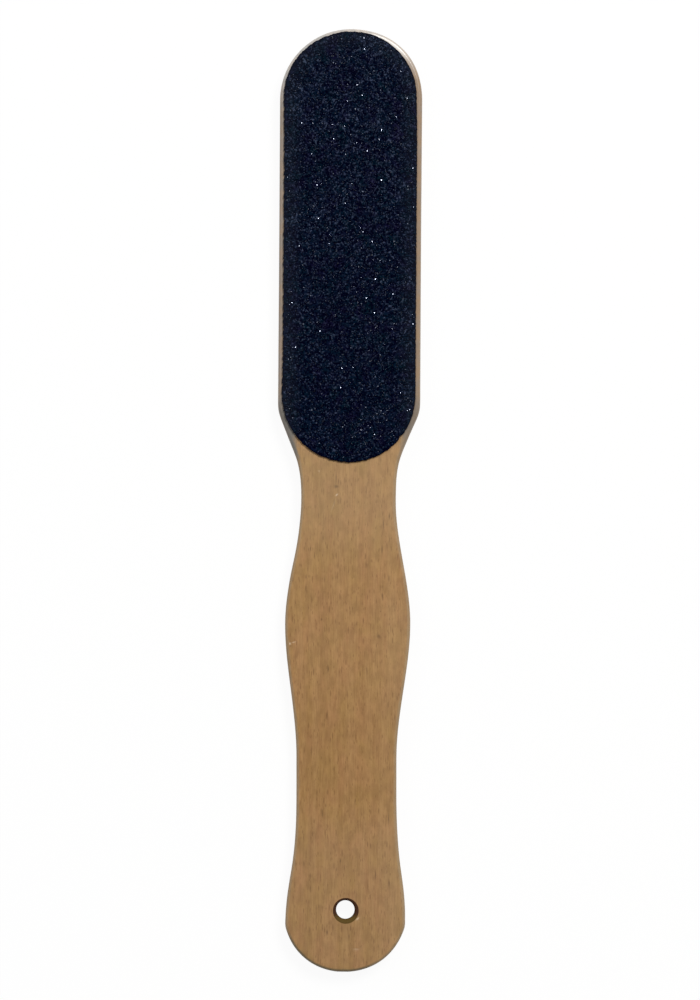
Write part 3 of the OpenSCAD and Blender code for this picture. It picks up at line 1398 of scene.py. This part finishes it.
@dataclass
class Paddle(Piece):
    """The beech blank with its eased edges and hanging hole."""

    outline_pitch: float = 0.75 * MM
    face_pitch: float = 0.95 * MM
    face_jitter: float = 0.12
    edge_steps: int = 8
    wall_steps: int = 5

    # The rounded edges and the wall between them
    edge_drop: float = 1.05 * MM
    edge_width: float = 0.84 * MM
    edge_waves: range = range(5, 24)
    edge_swing: float = 0.06
    shoulder_width: float = 1.5 * MM
    shoulder_from_tip: float = 112 * MM
    shoulder_reach: float = 9 * MM
    right_shoulder_share: float = 0.6
    pad_clearance: float = 0.08 * MM
    hollow: float = 0.02 * MM
    hollow_waves: range = range(9, 40)

    # How worn the edges are, which also places their painted sheen, and where a painted highlight lies on
    # the side next to the pad
    wall_wear: float = 0.12
    border_wear: float = 0.4
    border_wear_width: float = 1.6 * MM
    head_wear: float = 1.6
    head_wear_width: float = 1.0 * MM
    painted_highlight: Stray = Stray(10.6, 3.5, 8.5, 0.0)
    polish_and_highlight: float = 1.6
    highlight_from: float = 0.45
    highlight_rise: float = 0.35

    # The hanging hole, its bevels and the dark ring round it, partly scorch and partly painted shade
    hole_count: int = 112
    hole_margin: float = 0.5
    bevel_steps: int = 5
    bore_steps: int = 6
    bore_drift_top: Span = (-0.13 * MM, 0.42 * MM)
    bore_drift_bottom: Span = (-0.13 * MM, 0.03 * MM)
    bevel_drift: Span = (0.0, 0.11 * MM)
    halos: tuple[float, ...] = (0.15 * MM, 0.32 * MM)
    scorch_and_shade_mark: float = 0.8
    bore_halo_width: float = 0.4 * MM

    # The sanding's waves
    sanding_depth: float = 0.025 * MM
    sanding_waves: int = 9
    sanding_lengths: Span = (7, 26)
    sanding_stretch: float = 0.7
    sanding_fade: float = 6 * MM

    blemishes: tuple[Blemish, ...] = (
        stain(-3.5, 126.2, 4.5, 0.4, 0.8),
        stain(-3.4, 128.6, 2.0, 1.1, turn=90.0),
        nick(-3.3, 130.9, 1.1, 0.55, -40.0, 0.10, 0.9),
        nick(-4.2, 133.8, 5.4, 0.5, -20.0, 0.03, 0.16),
        nick(-8.3, 124.3, 0.9, 0.5, 10.0, 0.04, 0.35),
        stain(11.5, 136.8, 2.8, 0.5),
        stain(9.8, 139.1, 4.4, 0.44),
        stain(-10.6, 146.0, 2.2, 0.4, 0.7),
        stain(9.5, 146.2, 3.6, 0.5),
        stain(5.0, 150.4, 1.8, 0.35, 0.7),
        stain(-11.8, 154.1, 1.6, 0.4, 0.8),
        stain(11.5, 154.3, 2.6, 0.4, 0.7),
        stain(-6.6, 154.7, 2.8, 0.4, 0.5),
        stain(9.6, 159.1, 2.2, 0.45, 0.9),
        stain(9.2, 163.6, 0.7, 0.6, 0.7),
        stain(-7.3, 166.0, 0.8, 0.6, 0.6),
        stain(8.7, 170.6, 2.2, 1.4, 0.8, turn=35.0),
        nick(-16.2, 172.8, 0.8, 0.7, 20.0, 0.12, 1.0),
        nick(-15.1, 172.4, 1.6, 0.35, -76.0, 0.06, 0.6),
        stain(-16.0, 173.5, 0.7, 0.6, 0.6),
        stain(-5.4, 179.9, 2.4, 0.5),
        stain(5.5, 180.4, 3.2, 0.7, 0.5, turn=8.0),
        stain(-5.6, 192.7, 3.4, 0.42, 0.9),
        stain(-9.9, 203.0, 6.0, 0.35, 0.7),
        stain(2.35, 217.2, 2.8, 0.6, 0.5),
        stain(-6.7, 220.6, 3.0, 0.42, 0.9),
        stain(11.9, 221.9, 5.6, 0.42, 0.9),
        stain(-1.6, 233.8, 1.9, 0.5, 0.9),
        stain(8.3, 237.8, 3.8, 0.45, 0.9),
        stain(12.1, 240.0, 2.8, 0.55),
        # A light chip by the hole: raw wood, partly a painted highlight on the hole's rim
        nick(3.35, 250.0, 1.5, 0.55, -45.0, 0.02, 1.0),
        stain(-5.2, 253.9, 2.0, 0.6),
        stain(0.95, 255.0, 2.4, 0.5, 0.6),
        stain(7.4, 255.2, 2.2, 0.5, 0.6),
        nick(3.0, 258.5, 2.4, 0.3, 90.0, 0.03, 0.4),
    )
    strays: tuple[Stray, ...] = (
        Stray(14.0, 6.3, 14.0, 0.47),
        Stray(20.0, 60.0, 60.0, -0.08),
        Stray(-16.5, 118.0, 14.0, 0.16),
        Stray(-15.0, 145.5, 9.0, -0.13),
        Stray(-14.3, 200.0, 16.0, 0.08),
        Stray(-15.0, 229.0, 14.0, -0.10),
        Stray(16.0, 117.0, 14.0, -0.26),
        Stray(14.5, 200.0, 30.0, -0.14),
        Stray(16.5, 252.0, 13.0, -0.22),
        Stray(-11.0, 260.0, 15.0, 0.40),
    )
    layout: ClassVar[Layout] = {
        Chart.TOP: (0.0, 0.41),
        Chart.BOTTOM: (0.42, 0.83),
        Chart.RIM: (0.84, 0.97),
        Chart.BORE: (0.98, 1.0),
    }
    smooth: ClassVar[bool] = True

    def shape(self) -> None:
        """Adds the edges, the hole and the two faces."""
        low, high = (corner.to_2d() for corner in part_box(self.node))
        drawn = Outline.of_node(self.node).smoothed(self.outline_pitch).strayed(self.strays)
        bottom, top = self._rim(Outline(np.clip(drawn.points, low, high)))
        hole_bottom, hole_top = self._bore()
        self._face(top, hole_top, Chart.TOP, self.blemishes)
        self._face(bottom, hole_bottom, Chart.BOTTOM, ())

    def _edge_widths(self, line: Outline) -> np.ndarray:
        """How far in the rounding reaches: more at the shoulders, never under the pad.

        Args:
            line: the outline.

        Returns:
            The width at each point of the line.
        """
        tip = line.points[:, 1].max()
        from_shoulder = (tip - line.points[:, 1] - self.shoulder_from_tip) / self.shoulder_reach
        side_share = np.where(line.points[:, 0] < 0, 1.0, self.right_shoulder_share)
        shoulder = np.exp(-(from_shoulder**2)) * side_share
        width = self.edge_width + (self.shoulder_width - self.edge_width) * shoulder
        width = width * (1 + self.edge_swing * waves(line.shares(), self.edge_waves, self.rng))
        pad = pad_line("coarse_glue_film", self.outline_pitch)
        return np.minimum(width, pad.distance_to(line.points) - self.pad_clearance)

    def _rim(self, line: Outline) -> RingPair:
        """Adds the rounded edges and the wall between them.

        Args:
            line: the outline.

        Returns:
            The numbers of the rings that border the lower and the upper face.
        """
        low, high, drop = self.low, self.high, self.edge_drop
        along = line.shares()
        width = self._edge_widths(line)
        edge = [(drop * (1 - math.cos(a)), width * (1 - math.sin(a))) for a in quarter(self.edge_steps)]
        hollow = self.hollow * np.clip(1 + waves(along, self.hollow_waves, self.rng), 0, None)
        stations = [(low + down, inward) for down, inward in edge]
        for z in np.linspace(low + drop, high - drop, self.wall_steps + 1)[1:-1]:
            stations.append((z, hollow * (1 - (2 * (z - low) / (high - low) - 1) ** 2)))
        stations += [(high - down, inward) for down, inward in reversed(edge)]
        rings = []
        last = len(stations) - 1
        for k, (z, inward) in enumerate(stations):
            from_face = min(1.0, min(k, last - k) / self.edge_steps)
            spots = line.inset(inward).points
            on_head = (1 - from_face) * self._at_head(spots)
            marks = {Mark.EASED: np.maximum(self._wear(from_face), on_head)}
            # A painted highlight on the upper rounding beside the pad, near the tip's right side
            if k > last / 2:
                beside_pad = np.clip((inward / width - self.highlight_from) / self.highlight_rise, 0, 1)
                marks[Mark.POLISH_AND_HIGHLIGHT] = np.clip(self.polish_and_highlight * self.painted_highlight.nearness(spots), 0, 1) * beside_pad
            rings.append(self.shell.add(spots, z, along, k / last, marks))
        return self.shell.wall(rings, Chart.RIM)

    def _wear(self, from_face: float) -> float:
        """How worn the rounding is, most of all in its middle, which also places its painted sheen.

        Args:
            from_face: 0 where the rounding meets its face, 1 where it meets the wall.

        Returns:
            The edge's mark, from 0 to 1.
        """
        wear = math.sin(math.pi * from_face)
        if from_face < 0.5:
            wear = self.border_wear + (1 - self.border_wear) * wear
        return max(wear, self.wall_wear)

    def _at_head(self, spots: np.ndarray) -> np.ndarray:
        """How far each spot lies up the shoulders.

        Args:
            spots: x and y of each.

        Returns:
            0 on the handle, 1 on the head.
        """
        low, high = (y * MM for y in HEAD_RISE)
        share = np.clip((spots[:, 1] - low) / (high - low), 0, 1)
        return share * share * (3 - 2 * share)

    def _bore(self) -> RingPair:
        """Adds the hanging hole's wall and its softened bevels.

        Returns:
            The numbers of its rings in the lower and the upper face.
        """
        low, high = self.low, self.high
        hole, radius = self._hole()
        face = corners_of(self.node)
        face = face[np.abs(face[:, 2] - high) < NEAR][:, :2]
        bevel = float(np.linalg.norm(face - hole, axis=1).min()) - radius
        edge = [(bevel * (1 - math.cos(a)), bevel * (1 - math.sin(a))) for a in quarter(self.bevel_steps)]
        stations = [(low + down, flare) for down, flare in edge]
        stations += [(z, 0.0) for z in np.linspace(low + bevel, high - bevel, self.bore_steps + 1)[1:-1]]
        stations += [(high - down, flare) for down, flare in reversed(edge)]
        rings = []
        for k, (z, flare) in enumerate(stations):
            up = (z - low - bevel) / (high - low - 2 * bevel)
            drift = self._drift(min(max(up, 0.0), 1.0), flare / bevel)
            ring = circle(hole + drift, radius + flare, self.hole_count)
            across = k / (len(stations) - 1)
            rings.append(self.shell.add(ring.points, z, ring.shares(), across, {Mark.BORED: 1.0}))
        return self.shell.wall(rings, Chart.BORE, inwards=True)

    def _drift(self, up: float, flared: float) -> np.ndarray:
        """How far a ring of the hole lies off the hole's centre, since it was drilled and bevelled by hand.

        Args:
            up: 0 at the bore's lower end and 1 at its upper one.
            flared: 0 on the bore and 1 where a bevel meets its face.

        Returns:
            The shift in x and y.
        """
        bore = np.array(self.bore_drift_bottom) * (1 - up) + np.array(self.bore_drift_top) * up
        return bore * (1 - flared) + np.array(self.bevel_drift) * flared * up

    def _hole(self) -> tuple[np.ndarray, float]:
        """The hanging hole's centre and radius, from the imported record's mount."""
        mount = next(m for m in frame["record"]["mounts"] if m["name"] == "hang_hole")
        return np.array(mount["pos_m"][:2]), mount["dims"]["r_mm"] * MM

    def _face(
        self, ring: np.ndarray, hole_ring: np.ndarray, chart: Chart, blemishes: Iterable[Blemish]
    ) -> None:
        """Fills the upper or the lower face, with the sanding's soft waves and any blemishes.

        Args:
            ring: the numbers of the ring round the face.
            hole_ring: the numbers of the hole's ring in the face.
            chart: which face it is.
            blemishes: the flaws on it.
        """
        border = Outline(self.shell.points[ring, :2])
        hole = self.shell.points[hole_ring, :2].mean(axis=0)
        rim = float(np.linalg.norm(self.shell.points[hole_ring[0], :2] - hole))
        spots = border.lattice(self.face_pitch, self.face_jitter, self.rng)
        for blemish in blemishes:
            spots = blemish.meshed(spots, border, self.face_pitch)
        spots = spots[np.linalg.norm(spots - hole, axis=1) > rim + self.hole_margin * self.face_pitch]
        halos = [circle(hole, rim + out, self.hole_count).points for out in self.halos]
        spots = np.vstack([spots, *halos])
        dip = self._sanding(spots)
        from_border = self._from_border(border, spots)
        from_rim = np.linalg.norm(spots - hole, axis=1) - rim
        on_head = self._at_head(spots) * (self.head_wear - from_border / self.head_wear_width)
        on_border = self.border_wear - from_border / self.border_wear_width
        # The edge mark carries wear and painted sheen; the bore mark carries scorch and painted shade round
        # the hole
        marks = {
            Mark.EASED: np.clip(np.maximum(on_border, on_head), 0, 1),
            Mark.BORED: np.clip(self.scorch_and_shade_mark - from_rim / self.bore_halo_width, 0, 1),
        }
        for blemish in blemishes:
            near = blemish.nearness(spots)
            marks[blemish.mark] = np.maximum(marks.get(blemish.mark, 0.0), near * blemish.strength)
            dip = dip + near * blemish.depth * MM
        up = chart is Chart.TOP
        inner = self.shell.add(spots, self.high - dip if up else self.low + dip, marks=marks)
        self.shell.fill([ring, hole_ring], inner, up, chart)

    def _from_border(self, border: Outline, spots: np.ndarray) -> np.ndarray:
        """Measures how far inside the border spots lie, across the paddle or from its ends.

        Args:
            border: the line round the face.
            spots: x and y of each spot.

        Returns:
            About how far in each lies.
        """
        side = border.half_width(spots[:, 1]) - np.abs(spots[:, 0])
        low, high = border.points[:, 1].min(), border.points[:, 1].max()
        return np.minimum(side, np.minimum(spots[:, 1] - low, high - spots[:, 1]))

    def _sanding(self, spots: np.ndarray) -> np.ndarray:
        """The sanding's soft waves, which fade out under the pad.

        Args:
            spots: x and y of each spot.

        Returns:
            How deep each spot lies.
        """
        total = np.zeros(len(spots))
        for _ in range(self.sanding_waves):
            length = self.rng.uniform(*self.sanding_lengths) * MM
            turn = self.rng.uniform(0, 2 * math.pi)
            across, along = math.cos(turn) * self.sanding_stretch, math.sin(turn)
            phase = (spots[:, 0] * across + spots[:, 1] * along) / length
            total += np.sin(2 * math.pi * (phase + self.rng.random()))
        pad_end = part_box("coarse_backing")[0].y
        clear = np.clip((pad_end - spots[:, 1]) / self.sanding_fade, 0, 1)
        return self.sanding_depth * clear * np.clip(0.5 + total / self.sanding_waves, 0, 1)


@dataclass
class Sheet(Piece):
    """A thin flat layer cut to the pad's shape: its backing paper or its glue film.

    Attributes:
        ragged: how far its cut edge strays inwards.
    """

    ragged: float
    outline_pitch: float = 0.45 * MM
    face_pitch: float = 3 * MM
    face_jitter: float = 0.1
    cut_waves: range = range(20, 400, 9)
    wobble_share: float = 0.25
    chamfer_share: float = 0.2
    edge_profile: tuple[float, ...] = (1.0, 0.3, 0.0, 0.3, 1.0)
    layout: ClassVar[Layout] = {Chart.TOP: (0.0, 0.42), Chart.BOTTOM: (0.44, 0.86), Chart.RIM: (0.88, 1.0)}

    def shape(self) -> None:
        """Adds the ragged cut edge and the two flat faces."""
        low, high, shell, rng = self.low, self.high, self.shell, self.rng
        line = pad_line(self.node, self.outline_pitch)
        along = line.shares()
        rough = np.abs(waves(along, self.cut_waves, rng)) * self.ragged
        chamfer = self.chamfer_share * (high - low)
        heights = (low, low + chamfer, (low + high) / 2, high - chamfer, high)
        rings = []
        for k, (z, share) in enumerate(zip(heights, self.edge_profile)):
            wobble = rng.uniform(0, self.wobble_share * self.ragged, len(line.points))
            ring = line.inset(rough + wobble + share * chamfer)
            rings.append(shell.add(ring.points, z, along, k / (len(heights) - 1), {Mark.CUT: 1.0}))
        bottom, top = shell.wall(rings, Chart.RIM)
        for ring, z, chart in ((bottom, low, Chart.BOTTOM), (top, high, Chart.TOP)):
            border = Outline(shell.points[ring, :2])
            inner = shell.add(border.lattice(self.face_pitch, self.face_jitter, rng), z)
            shell.fill([ring], inner, chart is Chart.TOP, chart)


@dataclass
class GritCoat(Piece):
    """The grains and the resin that holds them: an uneven bed with sharp crystals standing out of it.

    Heights are shares of the coat's thickness, counted from the backing.

    Attributes:
        facing: which way the grains look.
        bed_pitch: the distance between the bed's points.
        grain_pitch: the distance between the crystals' places.
        grain_size: half the size of the smallest and of the largest crystal.
        bare_share: how many of the places have no crystal.
        polished_share: how many crystals shine.
        peak_share: how many of the bed's points stand up.
        right_trim: how much closer the coat is cut on the right.
        left_spare: how much wider it is cut on the left.
    """

    facing: Facing
    bed_pitch: float
    grain_pitch: float
    grain_size: Span
    bare_share: float = 0.19
    polished_share: float = 0.114
    peak_share: float = 0.45
    right_trim: float = 0.14 * MM
    left_spare: float = 0.05 * MM

    # The cut rim
    cut_waves: range = range(60, 620, 11)
    cut_depth: float = 0.16 * MM
    cut_offset: float = 0.8
    cut_wobble: float = 0.6
    rim_width: float = 0.3 * MM
    lip_inset: float = 0.02 * MM
    lip_heights: Span = (0.35, 0.6)
    rim_height: float = 0.45

    # The bed
    bed_jitter: float = 0.32
    peak_heights: Span = (0.5, 0.95)
    dip_heights: Span = (0.08, 0.4)
    bed_darkness: float = 2.3

    # The crystals
    crystal_jitter: float = 0.36
    crystal_stretch: Span = (0.62, 1.15)
    crystal_heights: Span = (0.35, 0.7)
    lowest_point: float = 0.05
    crystal_darkness: float = 1.83
    layout: ClassVar[Layout] = {Chart.BOTTOM: (0.0, 0.06), Chart.RIM: (0.07, 0.12), Chart.TOP: (0.13, 1.0)}

    def shape(self) -> None:
        """Adds the cut rim, the uneven bed and the crystals."""
        shell, rng = self.shell, self.rng
        up = self.facing is Facing.UP
        base, crest = (self.low, self.high) if up else (self.high, self.low)
        thick = crest - base
        line = self._cut_line()
        along = line.shares()
        foot = shell.add(line.points, base, along, 0.0, {Mark.CUT: 1.0})
        lip_height = base + thick * rng.uniform(*self.lip_heights, len(along))
        lip = shell.add(line.inset(self.lip_inset).points, lip_height, along, 1.0, {Mark.CUT: 1.0})
        shell.fill([foot], np.zeros(0), not up, Chart.BOTTOM)
        shell.wall([foot, lip] if up else [lip, foot], Chart.RIM)
        spots = line.lattice(self.bed_pitch, self.bed_jitter, rng)
        inside = np.clip(self._inside(line, spots) / self.rim_width, 0, 1)
        stands = rng.random(len(spots)) < self.peak_share
        peaks = rng.uniform(*self.peak_heights, len(spots))
        dips = rng.uniform(*self.dip_heights, len(spots))
        rise = np.where(stands, peaks, dips) * (self.rim_height + (1 - self.rim_height) * inside)
        marks = {Mark.SHADE: rng.random(len(spots)) ** self.bed_darkness, Mark.CUT: 1 - inside}
        bed = shell.add(spots, base + thick * rise, marks=marks)
        shell.fill([lip], bed, up, Chart.TOP)
        self._crystals(line, base, crest)

    def _cut_line(self) -> Outline:
        """Draws the coat's outline: ragged, and a little closer on the right.

        Returns:
            The line.
        """
        line = pad_line(self.node, self.bed_pitch)
        along = line.shares()
        rough = (np.abs(waves(along, self.cut_waves, self.rng)) - self.cut_offset) * self.cut_depth
        rough += self.rng.uniform(0, self.cut_wobble * self.cut_depth, len(along))
        to_right = line.points[:, 0] / line.points[:, 0].max()
        rough += np.interp(to_right, (-1, 1), (-self.left_spare, self.right_trim))
        return line.inset(rough)

    def _inside(self, line: Outline, spots: np.ndarray) -> np.ndarray:
        """Measures how far inside the outline spots lie, exactly near the rim of a shape with round ends.

        Args:
            line: the pad's outline.
            spots: x and y of each spot.

        Returns:
            How far in each lies.
        """
        radius = line.points[:, 0].max()
        low, high = line.points[:, 1].min() + radius, line.points[:, 1].max() - radius
        past = spots[:, 1] - np.clip(spots[:, 1], low, high)
        return radius - np.hypot(spots[:, 0], past)

    def _crystals(self, line: Outline, base: float, crest: float) -> None:
        """Adds the separate crystals, each an uneven double pyramid half sunk in the bed.

        Args:
            line: the pad's outline.
            base: the height of the backing's surface.
            crest: the height that no grain passes.
        """
        rng = self.rng
        spots = line.inset(self.grain_size[1]).lattice(self.grain_pitch, self.crystal_jitter, rng)
        spots = spots[rng.random(len(spots)) > self.bare_share]
        count = len(spots)
        size = rng.uniform(*self.grain_size, count)
        points = np.array([(1, 0, 0), (-1, 0, 0), (0, 1, 0), (0, -1, 0), (0, 0, 1), (0, 0, -1)], float)
        each = len(points)
        shape = points[None] * rng.uniform(*self.crystal_stretch, (count, each, 1)) * size[:, None, None]
        shape = np.einsum("nij,nkj->nki", self._turns(count), shape)
        lift = base + (crest - base) * rng.uniform(*self.crystal_heights, count)
        placed = shape + np.column_stack([spots, lift])[:, None, :]
        bounds = sorted((base + self.lowest_point * (crest - base), crest))
        placed[..., 2] = np.clip(placed[..., 2], *bounds)
        shade = rng.random(count) ** self.crystal_darkness
        polish_and_highlight = rng.random(count) < self.polished_share
        marks = {Mark.SHADE: np.repeat(shade, each), Mark.POLISH_AND_HIGHLIGHT: np.repeat(polish_and_highlight, each)}
        flat = placed.reshape(-1, 3)
        numbers = self.shell.add(flat[:, :2], flat[:, 2], marks=marks).reshape(count, each)
        sides = np.array(
            [(0, 2, 4), (2, 1, 4), (1, 3, 4), (3, 0, 4), (2, 0, 5), (1, 2, 5), (3, 1, 5), (0, 3, 5)]
        )
        self.shell.add_faces(numbers[:, sides].reshape(-1, 3), Chart.TOP)

    def _turns(self, count: int) -> np.ndarray:
        """Draws random rotations.

        Args:
            count: how many.

        Returns:
            One 3 by 3 matrix each.
        """
        q = self.rng.normal(size=(count, 4))
        w, x, y, z = (q / np.linalg.norm(q, axis=1)[:, None]).T
        rows = [
            [1 - 2 * (y * y + z * z), 2 * (x * y - w * z), 2 * (x * z + w * y)],
            [2 * (x * y + w * z), 1 - 2 * (x * x + z * z), 2 * (y * z - w * x)],
            [2 * (x * z - w * y), 2 * (y * z + w * x), 1 - 2 * (x * x + y * y)],
        ]
        return np.moveaxis(np.array(rows), 2, 0)


@dataclass
class AbrasivePad:
    """One pad: glue film, backing paper and grit coat."""

    film: Sheet
    backing: Sheet
    coat: GritCoat

    def build(self, film: bpy.types.Material, paper: bpy.types.Material, grit: bpy.types.Material) -> None:
        """Builds the three layers.

        Args:
            film: the glue's material.
            paper: the backing's material.
            grit: the coat's material.
        """
        self.film.build(film)
        self.backing.build(paper)
        self.coat.build(grit)


@dataclass(frozen=True)
class Studio:
    """A white sweep, soft lamps and the camera of the photograph.

    Attributes:
        floor_rings: the radii of the flat floor's inner rings of faces.
        floor_radius: the flat floor's radius.
        cove_radius: the radius of the curve from the floor to the wall.
        sweep_segments: the faces round the floor.
        cove_steps: the faces up the curve.
        white_share: how much of the floor's look in the picture is plain white, not lit paint.
        floor_colour: the floor's paint, by the light that it throws back.
        seen_colour: its paint as the picture shows it.
        sky: the colour of the light from all round.
        sky_strength: that light's strength.
        image_px: the photograph's width and height.
        scale_px: pixels per millimetre at the paddle's widest line.
        tip_px: the column and row of the paddle's tip.
        lean: how far the paddle's axis leans from the picture's upright, in columns per row.
        lens: the camera's focal length in millimetres.
        sensor: the size of the picture behind its lens in millimetres.
        clip_end: how far it sees, in metres.
    """

    floor_rings: Span = (0.3, 0.9)
    floor_radius: float = 2.4
    cove_radius: float = 0.7
    sweep_segments: int = 96
    cove_steps: int = 10
    white_share: float = 0.94
    floor_colour: Colour = (0.85, 0.85, 0.85)
    seen_colour: Colour = (0.97, 0.97, 0.97)
    sky: Colour = (0.93, 0.96, 1.0)
    sky_strength: float = 0.15
    image_px: tuple[int, int] = (700, 1000)
    scale_px: float = 3.5567
    tip_px: Span = (351.67, 29.15)
    lean: float = 0.00669
    lens: float = 160.0
    sensor: float = 36.0
    clip_end: float = 20.0

    def build(self) -> None:
        """Makes the floor, the lamps, the world and the camera."""
        self._sweep()
        self._lamps()
        self._world()
        self._camera()

    def _sweep(self) -> None:
        """Makes the floor and the wall that it curves up into."""
        segments = self.sweep_segments
        profile = [(r, 0.0) for r in (*self.floor_rings, self.floor_radius)]
        for angle in quarter(self.cove_steps)[1:]:
            out = self.floor_radius + self.cove_radius * math.sin(angle)
            profile.append((out, self.cove_radius * (1 - math.cos(angle))))
        turns = [2 * math.pi * i / segments for i in range(segments)]
        points = [(0.0, 0.0, 0.0)]
        points += [(r * math.cos(a), r * math.sin(a), z) for r, z in profile for a in turns]
        faces = [(0, 1 + i, 1 + (i + 1) % segments) for i in range(segments)]
        for k in range(len(profile) - 1):
            for i in range(segments):
                here = 1 + k * segments + i
                ahead = 1 + k * segments + (i + 1) % segments
                faces.append((here, here + segments, ahead + segments, ahead))
        mesh = bpy.data.meshes.new("sweep")
        mesh.from_pydata(points, [], faces)
        mesh.shade_smooth()
        sweep = bpy.data.objects.new("sweep", mesh)
        bpy.context.scene.collection.objects.link(sweep)
        mesh.materials.append(self._sweep_material())

    def _sweep_material(self) -> bpy.types.Material:
        """Makes it white where it is seen, and plain lit paint for the light that it throws back.

        Returns:
            The material.
        """
        material = bpy.data.materials.new("sweep")
        material.use_nodes = True
        material.cycles.emission_sampling = "NONE"
        s = Sketch(material.node_tree)
        nodes = material.node_tree.nodes
        nodes.remove(nodes["Principled BSDF"])
        white = s.add("Emission", {"Color": (1.0, 1.0, 1.0, 1.0), "Strength": 1.0})
        path = s.add("LightPath")
        seen = s.larger(path.outputs["Is Camera Ray"], path.outputs["Is Glossy Ray"])
        seen = s.larger(seen, path.outputs["Is Transmission Ray"])
        paint = s.add("BsdfDiffuse", {"Color": s.blend(seen, self.floor_colour, self.seen_colour)})
        share = s.times(seen, self.white_share)
        mixed = s.add("MixShader", {0: share, 1: paint.outputs[0], 2: white.outputs[0]})
        s.feed(nodes["Material Output"].inputs["Surface"], mixed.outputs[0])
        return material

    def _lamp(self, name: str, place: Vector, side: float, power: float, tint: Colour) -> None:
        """Hangs a square soft lamp that looks at the paddle's middle.

        Args:
            name: its name.
            place: where it hangs, in metres.
            side: the length of its side in metres.
            power: its power in watts.
            tint: the colour of its light.
        """
        data = bpy.data.lights.new(name, "AREA")
        data.shape = "SQUARE"
        data.size = side
        data.energy = power
        data.color = tint
        lamp = bpy.data.objects.new(name, data)
        bpy.context.scene.collection.objects.link(lamp)
        lamp.location = place
        lamp.rotation_euler = (-place).to_track_quat("-Z", "Y").to_euler()

    def _lamps(self) -> None:
        """Hangs the key lamp past the head's right side and a weaker, wider one past its left."""
        self._lamp("key", Vector((0.61, 0.90, 1.62)), side=0.68, power=32.0, tint=(1.0, 0.98, 0.95))
        self._lamp("fill", Vector((-1.02, 0.76, 1.62)), side=1.5, power=12.5, tint=(0.97, 0.98, 1.0))

    def _world(self) -> None:
        """Makes the pale sky over the sweep."""
        world = bpy.data.worlds.new("sky")
        world.use_nodes = True
        background = world.node_tree.nodes["Background"]
        background.inputs["Color"].default_value = self.sky + (1.0,)
        background.inputs["Strength"].default_value = self.sky_strength
        bpy.context.scene.world = world

    def _camera(self) -> None:
        """Puts the camera straight above, turned and placed so that the paddle lies as in the photo."""
        spots = corners_of("beech_paddle")
        widest = np.abs(spots[:, 0] - spots[:, 0].max()) < NEAR
        tip = Vector((0.0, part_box("beech_paddle")[1].y, spots[widest, 2].max()))
        turn = math.atan(self.lean)
        right = Vector((math.cos(turn), math.sin(turn), 0.0))
        up = Vector((-math.sin(turn), math.cos(turn), 0.0))
        tip_right = (self.tip_px[0] - self.image_px[0] / 2) / self.scale_px * MM
        tip_up = (self.image_px[1] / 2 - self.tip_px[1]) / self.scale_px * MM
        away = self.lens / self.sensor * self.image_px[1] / self.scale_px * MM
        data = bpy.data.cameras.new("camera")
        data.lens = self.lens
        data.sensor_width = self.sensor
        data.clip_end = self.clip_end
        camera = bpy.data.objects.new("camera", data)
        bpy.context.scene.collection.objects.link(camera)
        spot = tip - right * tip_right - up * tip_up + Vector((0.0, 0.0, away))
        camera.matrix_world = Matrix.Translation(spot)
        camera.rotation_euler = (0.0, 0.0, turn)
        bpy.context.scene.camera = camera


def in_mm(node: str) -> Span:
    """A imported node's lowest and highest height in millimetres."""
    low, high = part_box(node)
    return low.z / MM, high.z / MM


def main() -> None:
    """Builds the paddle, its two pads and the studio."""
    effects = Effects.build()
    Paddle("beech_paddle", "paddle", Slot.BEECH, 11).build(Beech().material(effects))
    film = GlueFilm().material(effects)
    paper = BackingPaper().material(effects)
    coarse_low, coarse_high = in_mm("coarse_grit_coat")
    fine_crest, fine_base = in_mm("fine_grit_coat")
    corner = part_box("coarse_grit_coat")[1]
    round_end = {"centre": (corner.y - corner.x) / MM, "radius": corner.x / MM}
    coarse = Grit(name="coarse_grit", low=coarse_low, high=coarse_high, **round_end)
    fine = Grit(name="fine_grit", low=fine_base, high=fine_crest, **round_end, roughness=0.55)
    coarse_pad = AbrasivePad(
        Sheet("coarse_glue_film", "coarse_film", Slot.FILM, 21, ragged=0.1 * MM),
        Sheet("coarse_backing", "coarse_paper", Slot.PAPER, 22, ragged=0.09 * MM),
        GritCoat(
            "coarse_grit_coat", "coarse_grains", Slot.COARSE, 23, Facing.UP,
            bed_pitch=0.39 * MM, grain_pitch=0.475 * MM, grain_size=(0.16 * MM, 0.244 * MM),
        ),
    )
    fine_pad = AbrasivePad(
        Sheet("fine_glue_film", "fine_film", Slot.FILM, 31, ragged=0.1 * MM),
        Sheet("fine_backing", "fine_paper", Slot.PAPER, 32, ragged=0.09 * MM),
        GritCoat(
            "fine_grit_coat", "fine_grains", Slot.FINE, 33, Facing.DOWN,
            bed_pitch=0.3 * MM, grain_pitch=0.62 * MM, grain_size=(0.07 * MM, 0.12 * MM),
        ),
    )
    coarse_pad.build(film, paper, coarse.material(effects))
    fine_pad.build(film, paper, fine.material(effects))
    Studio().build()
    bpy.context.scene.view_settings.view_transform = "Standard"


if __name__ == "__main__":
    logging.basicConfig(level=logging.INFO, format="%(message)s")
    main()
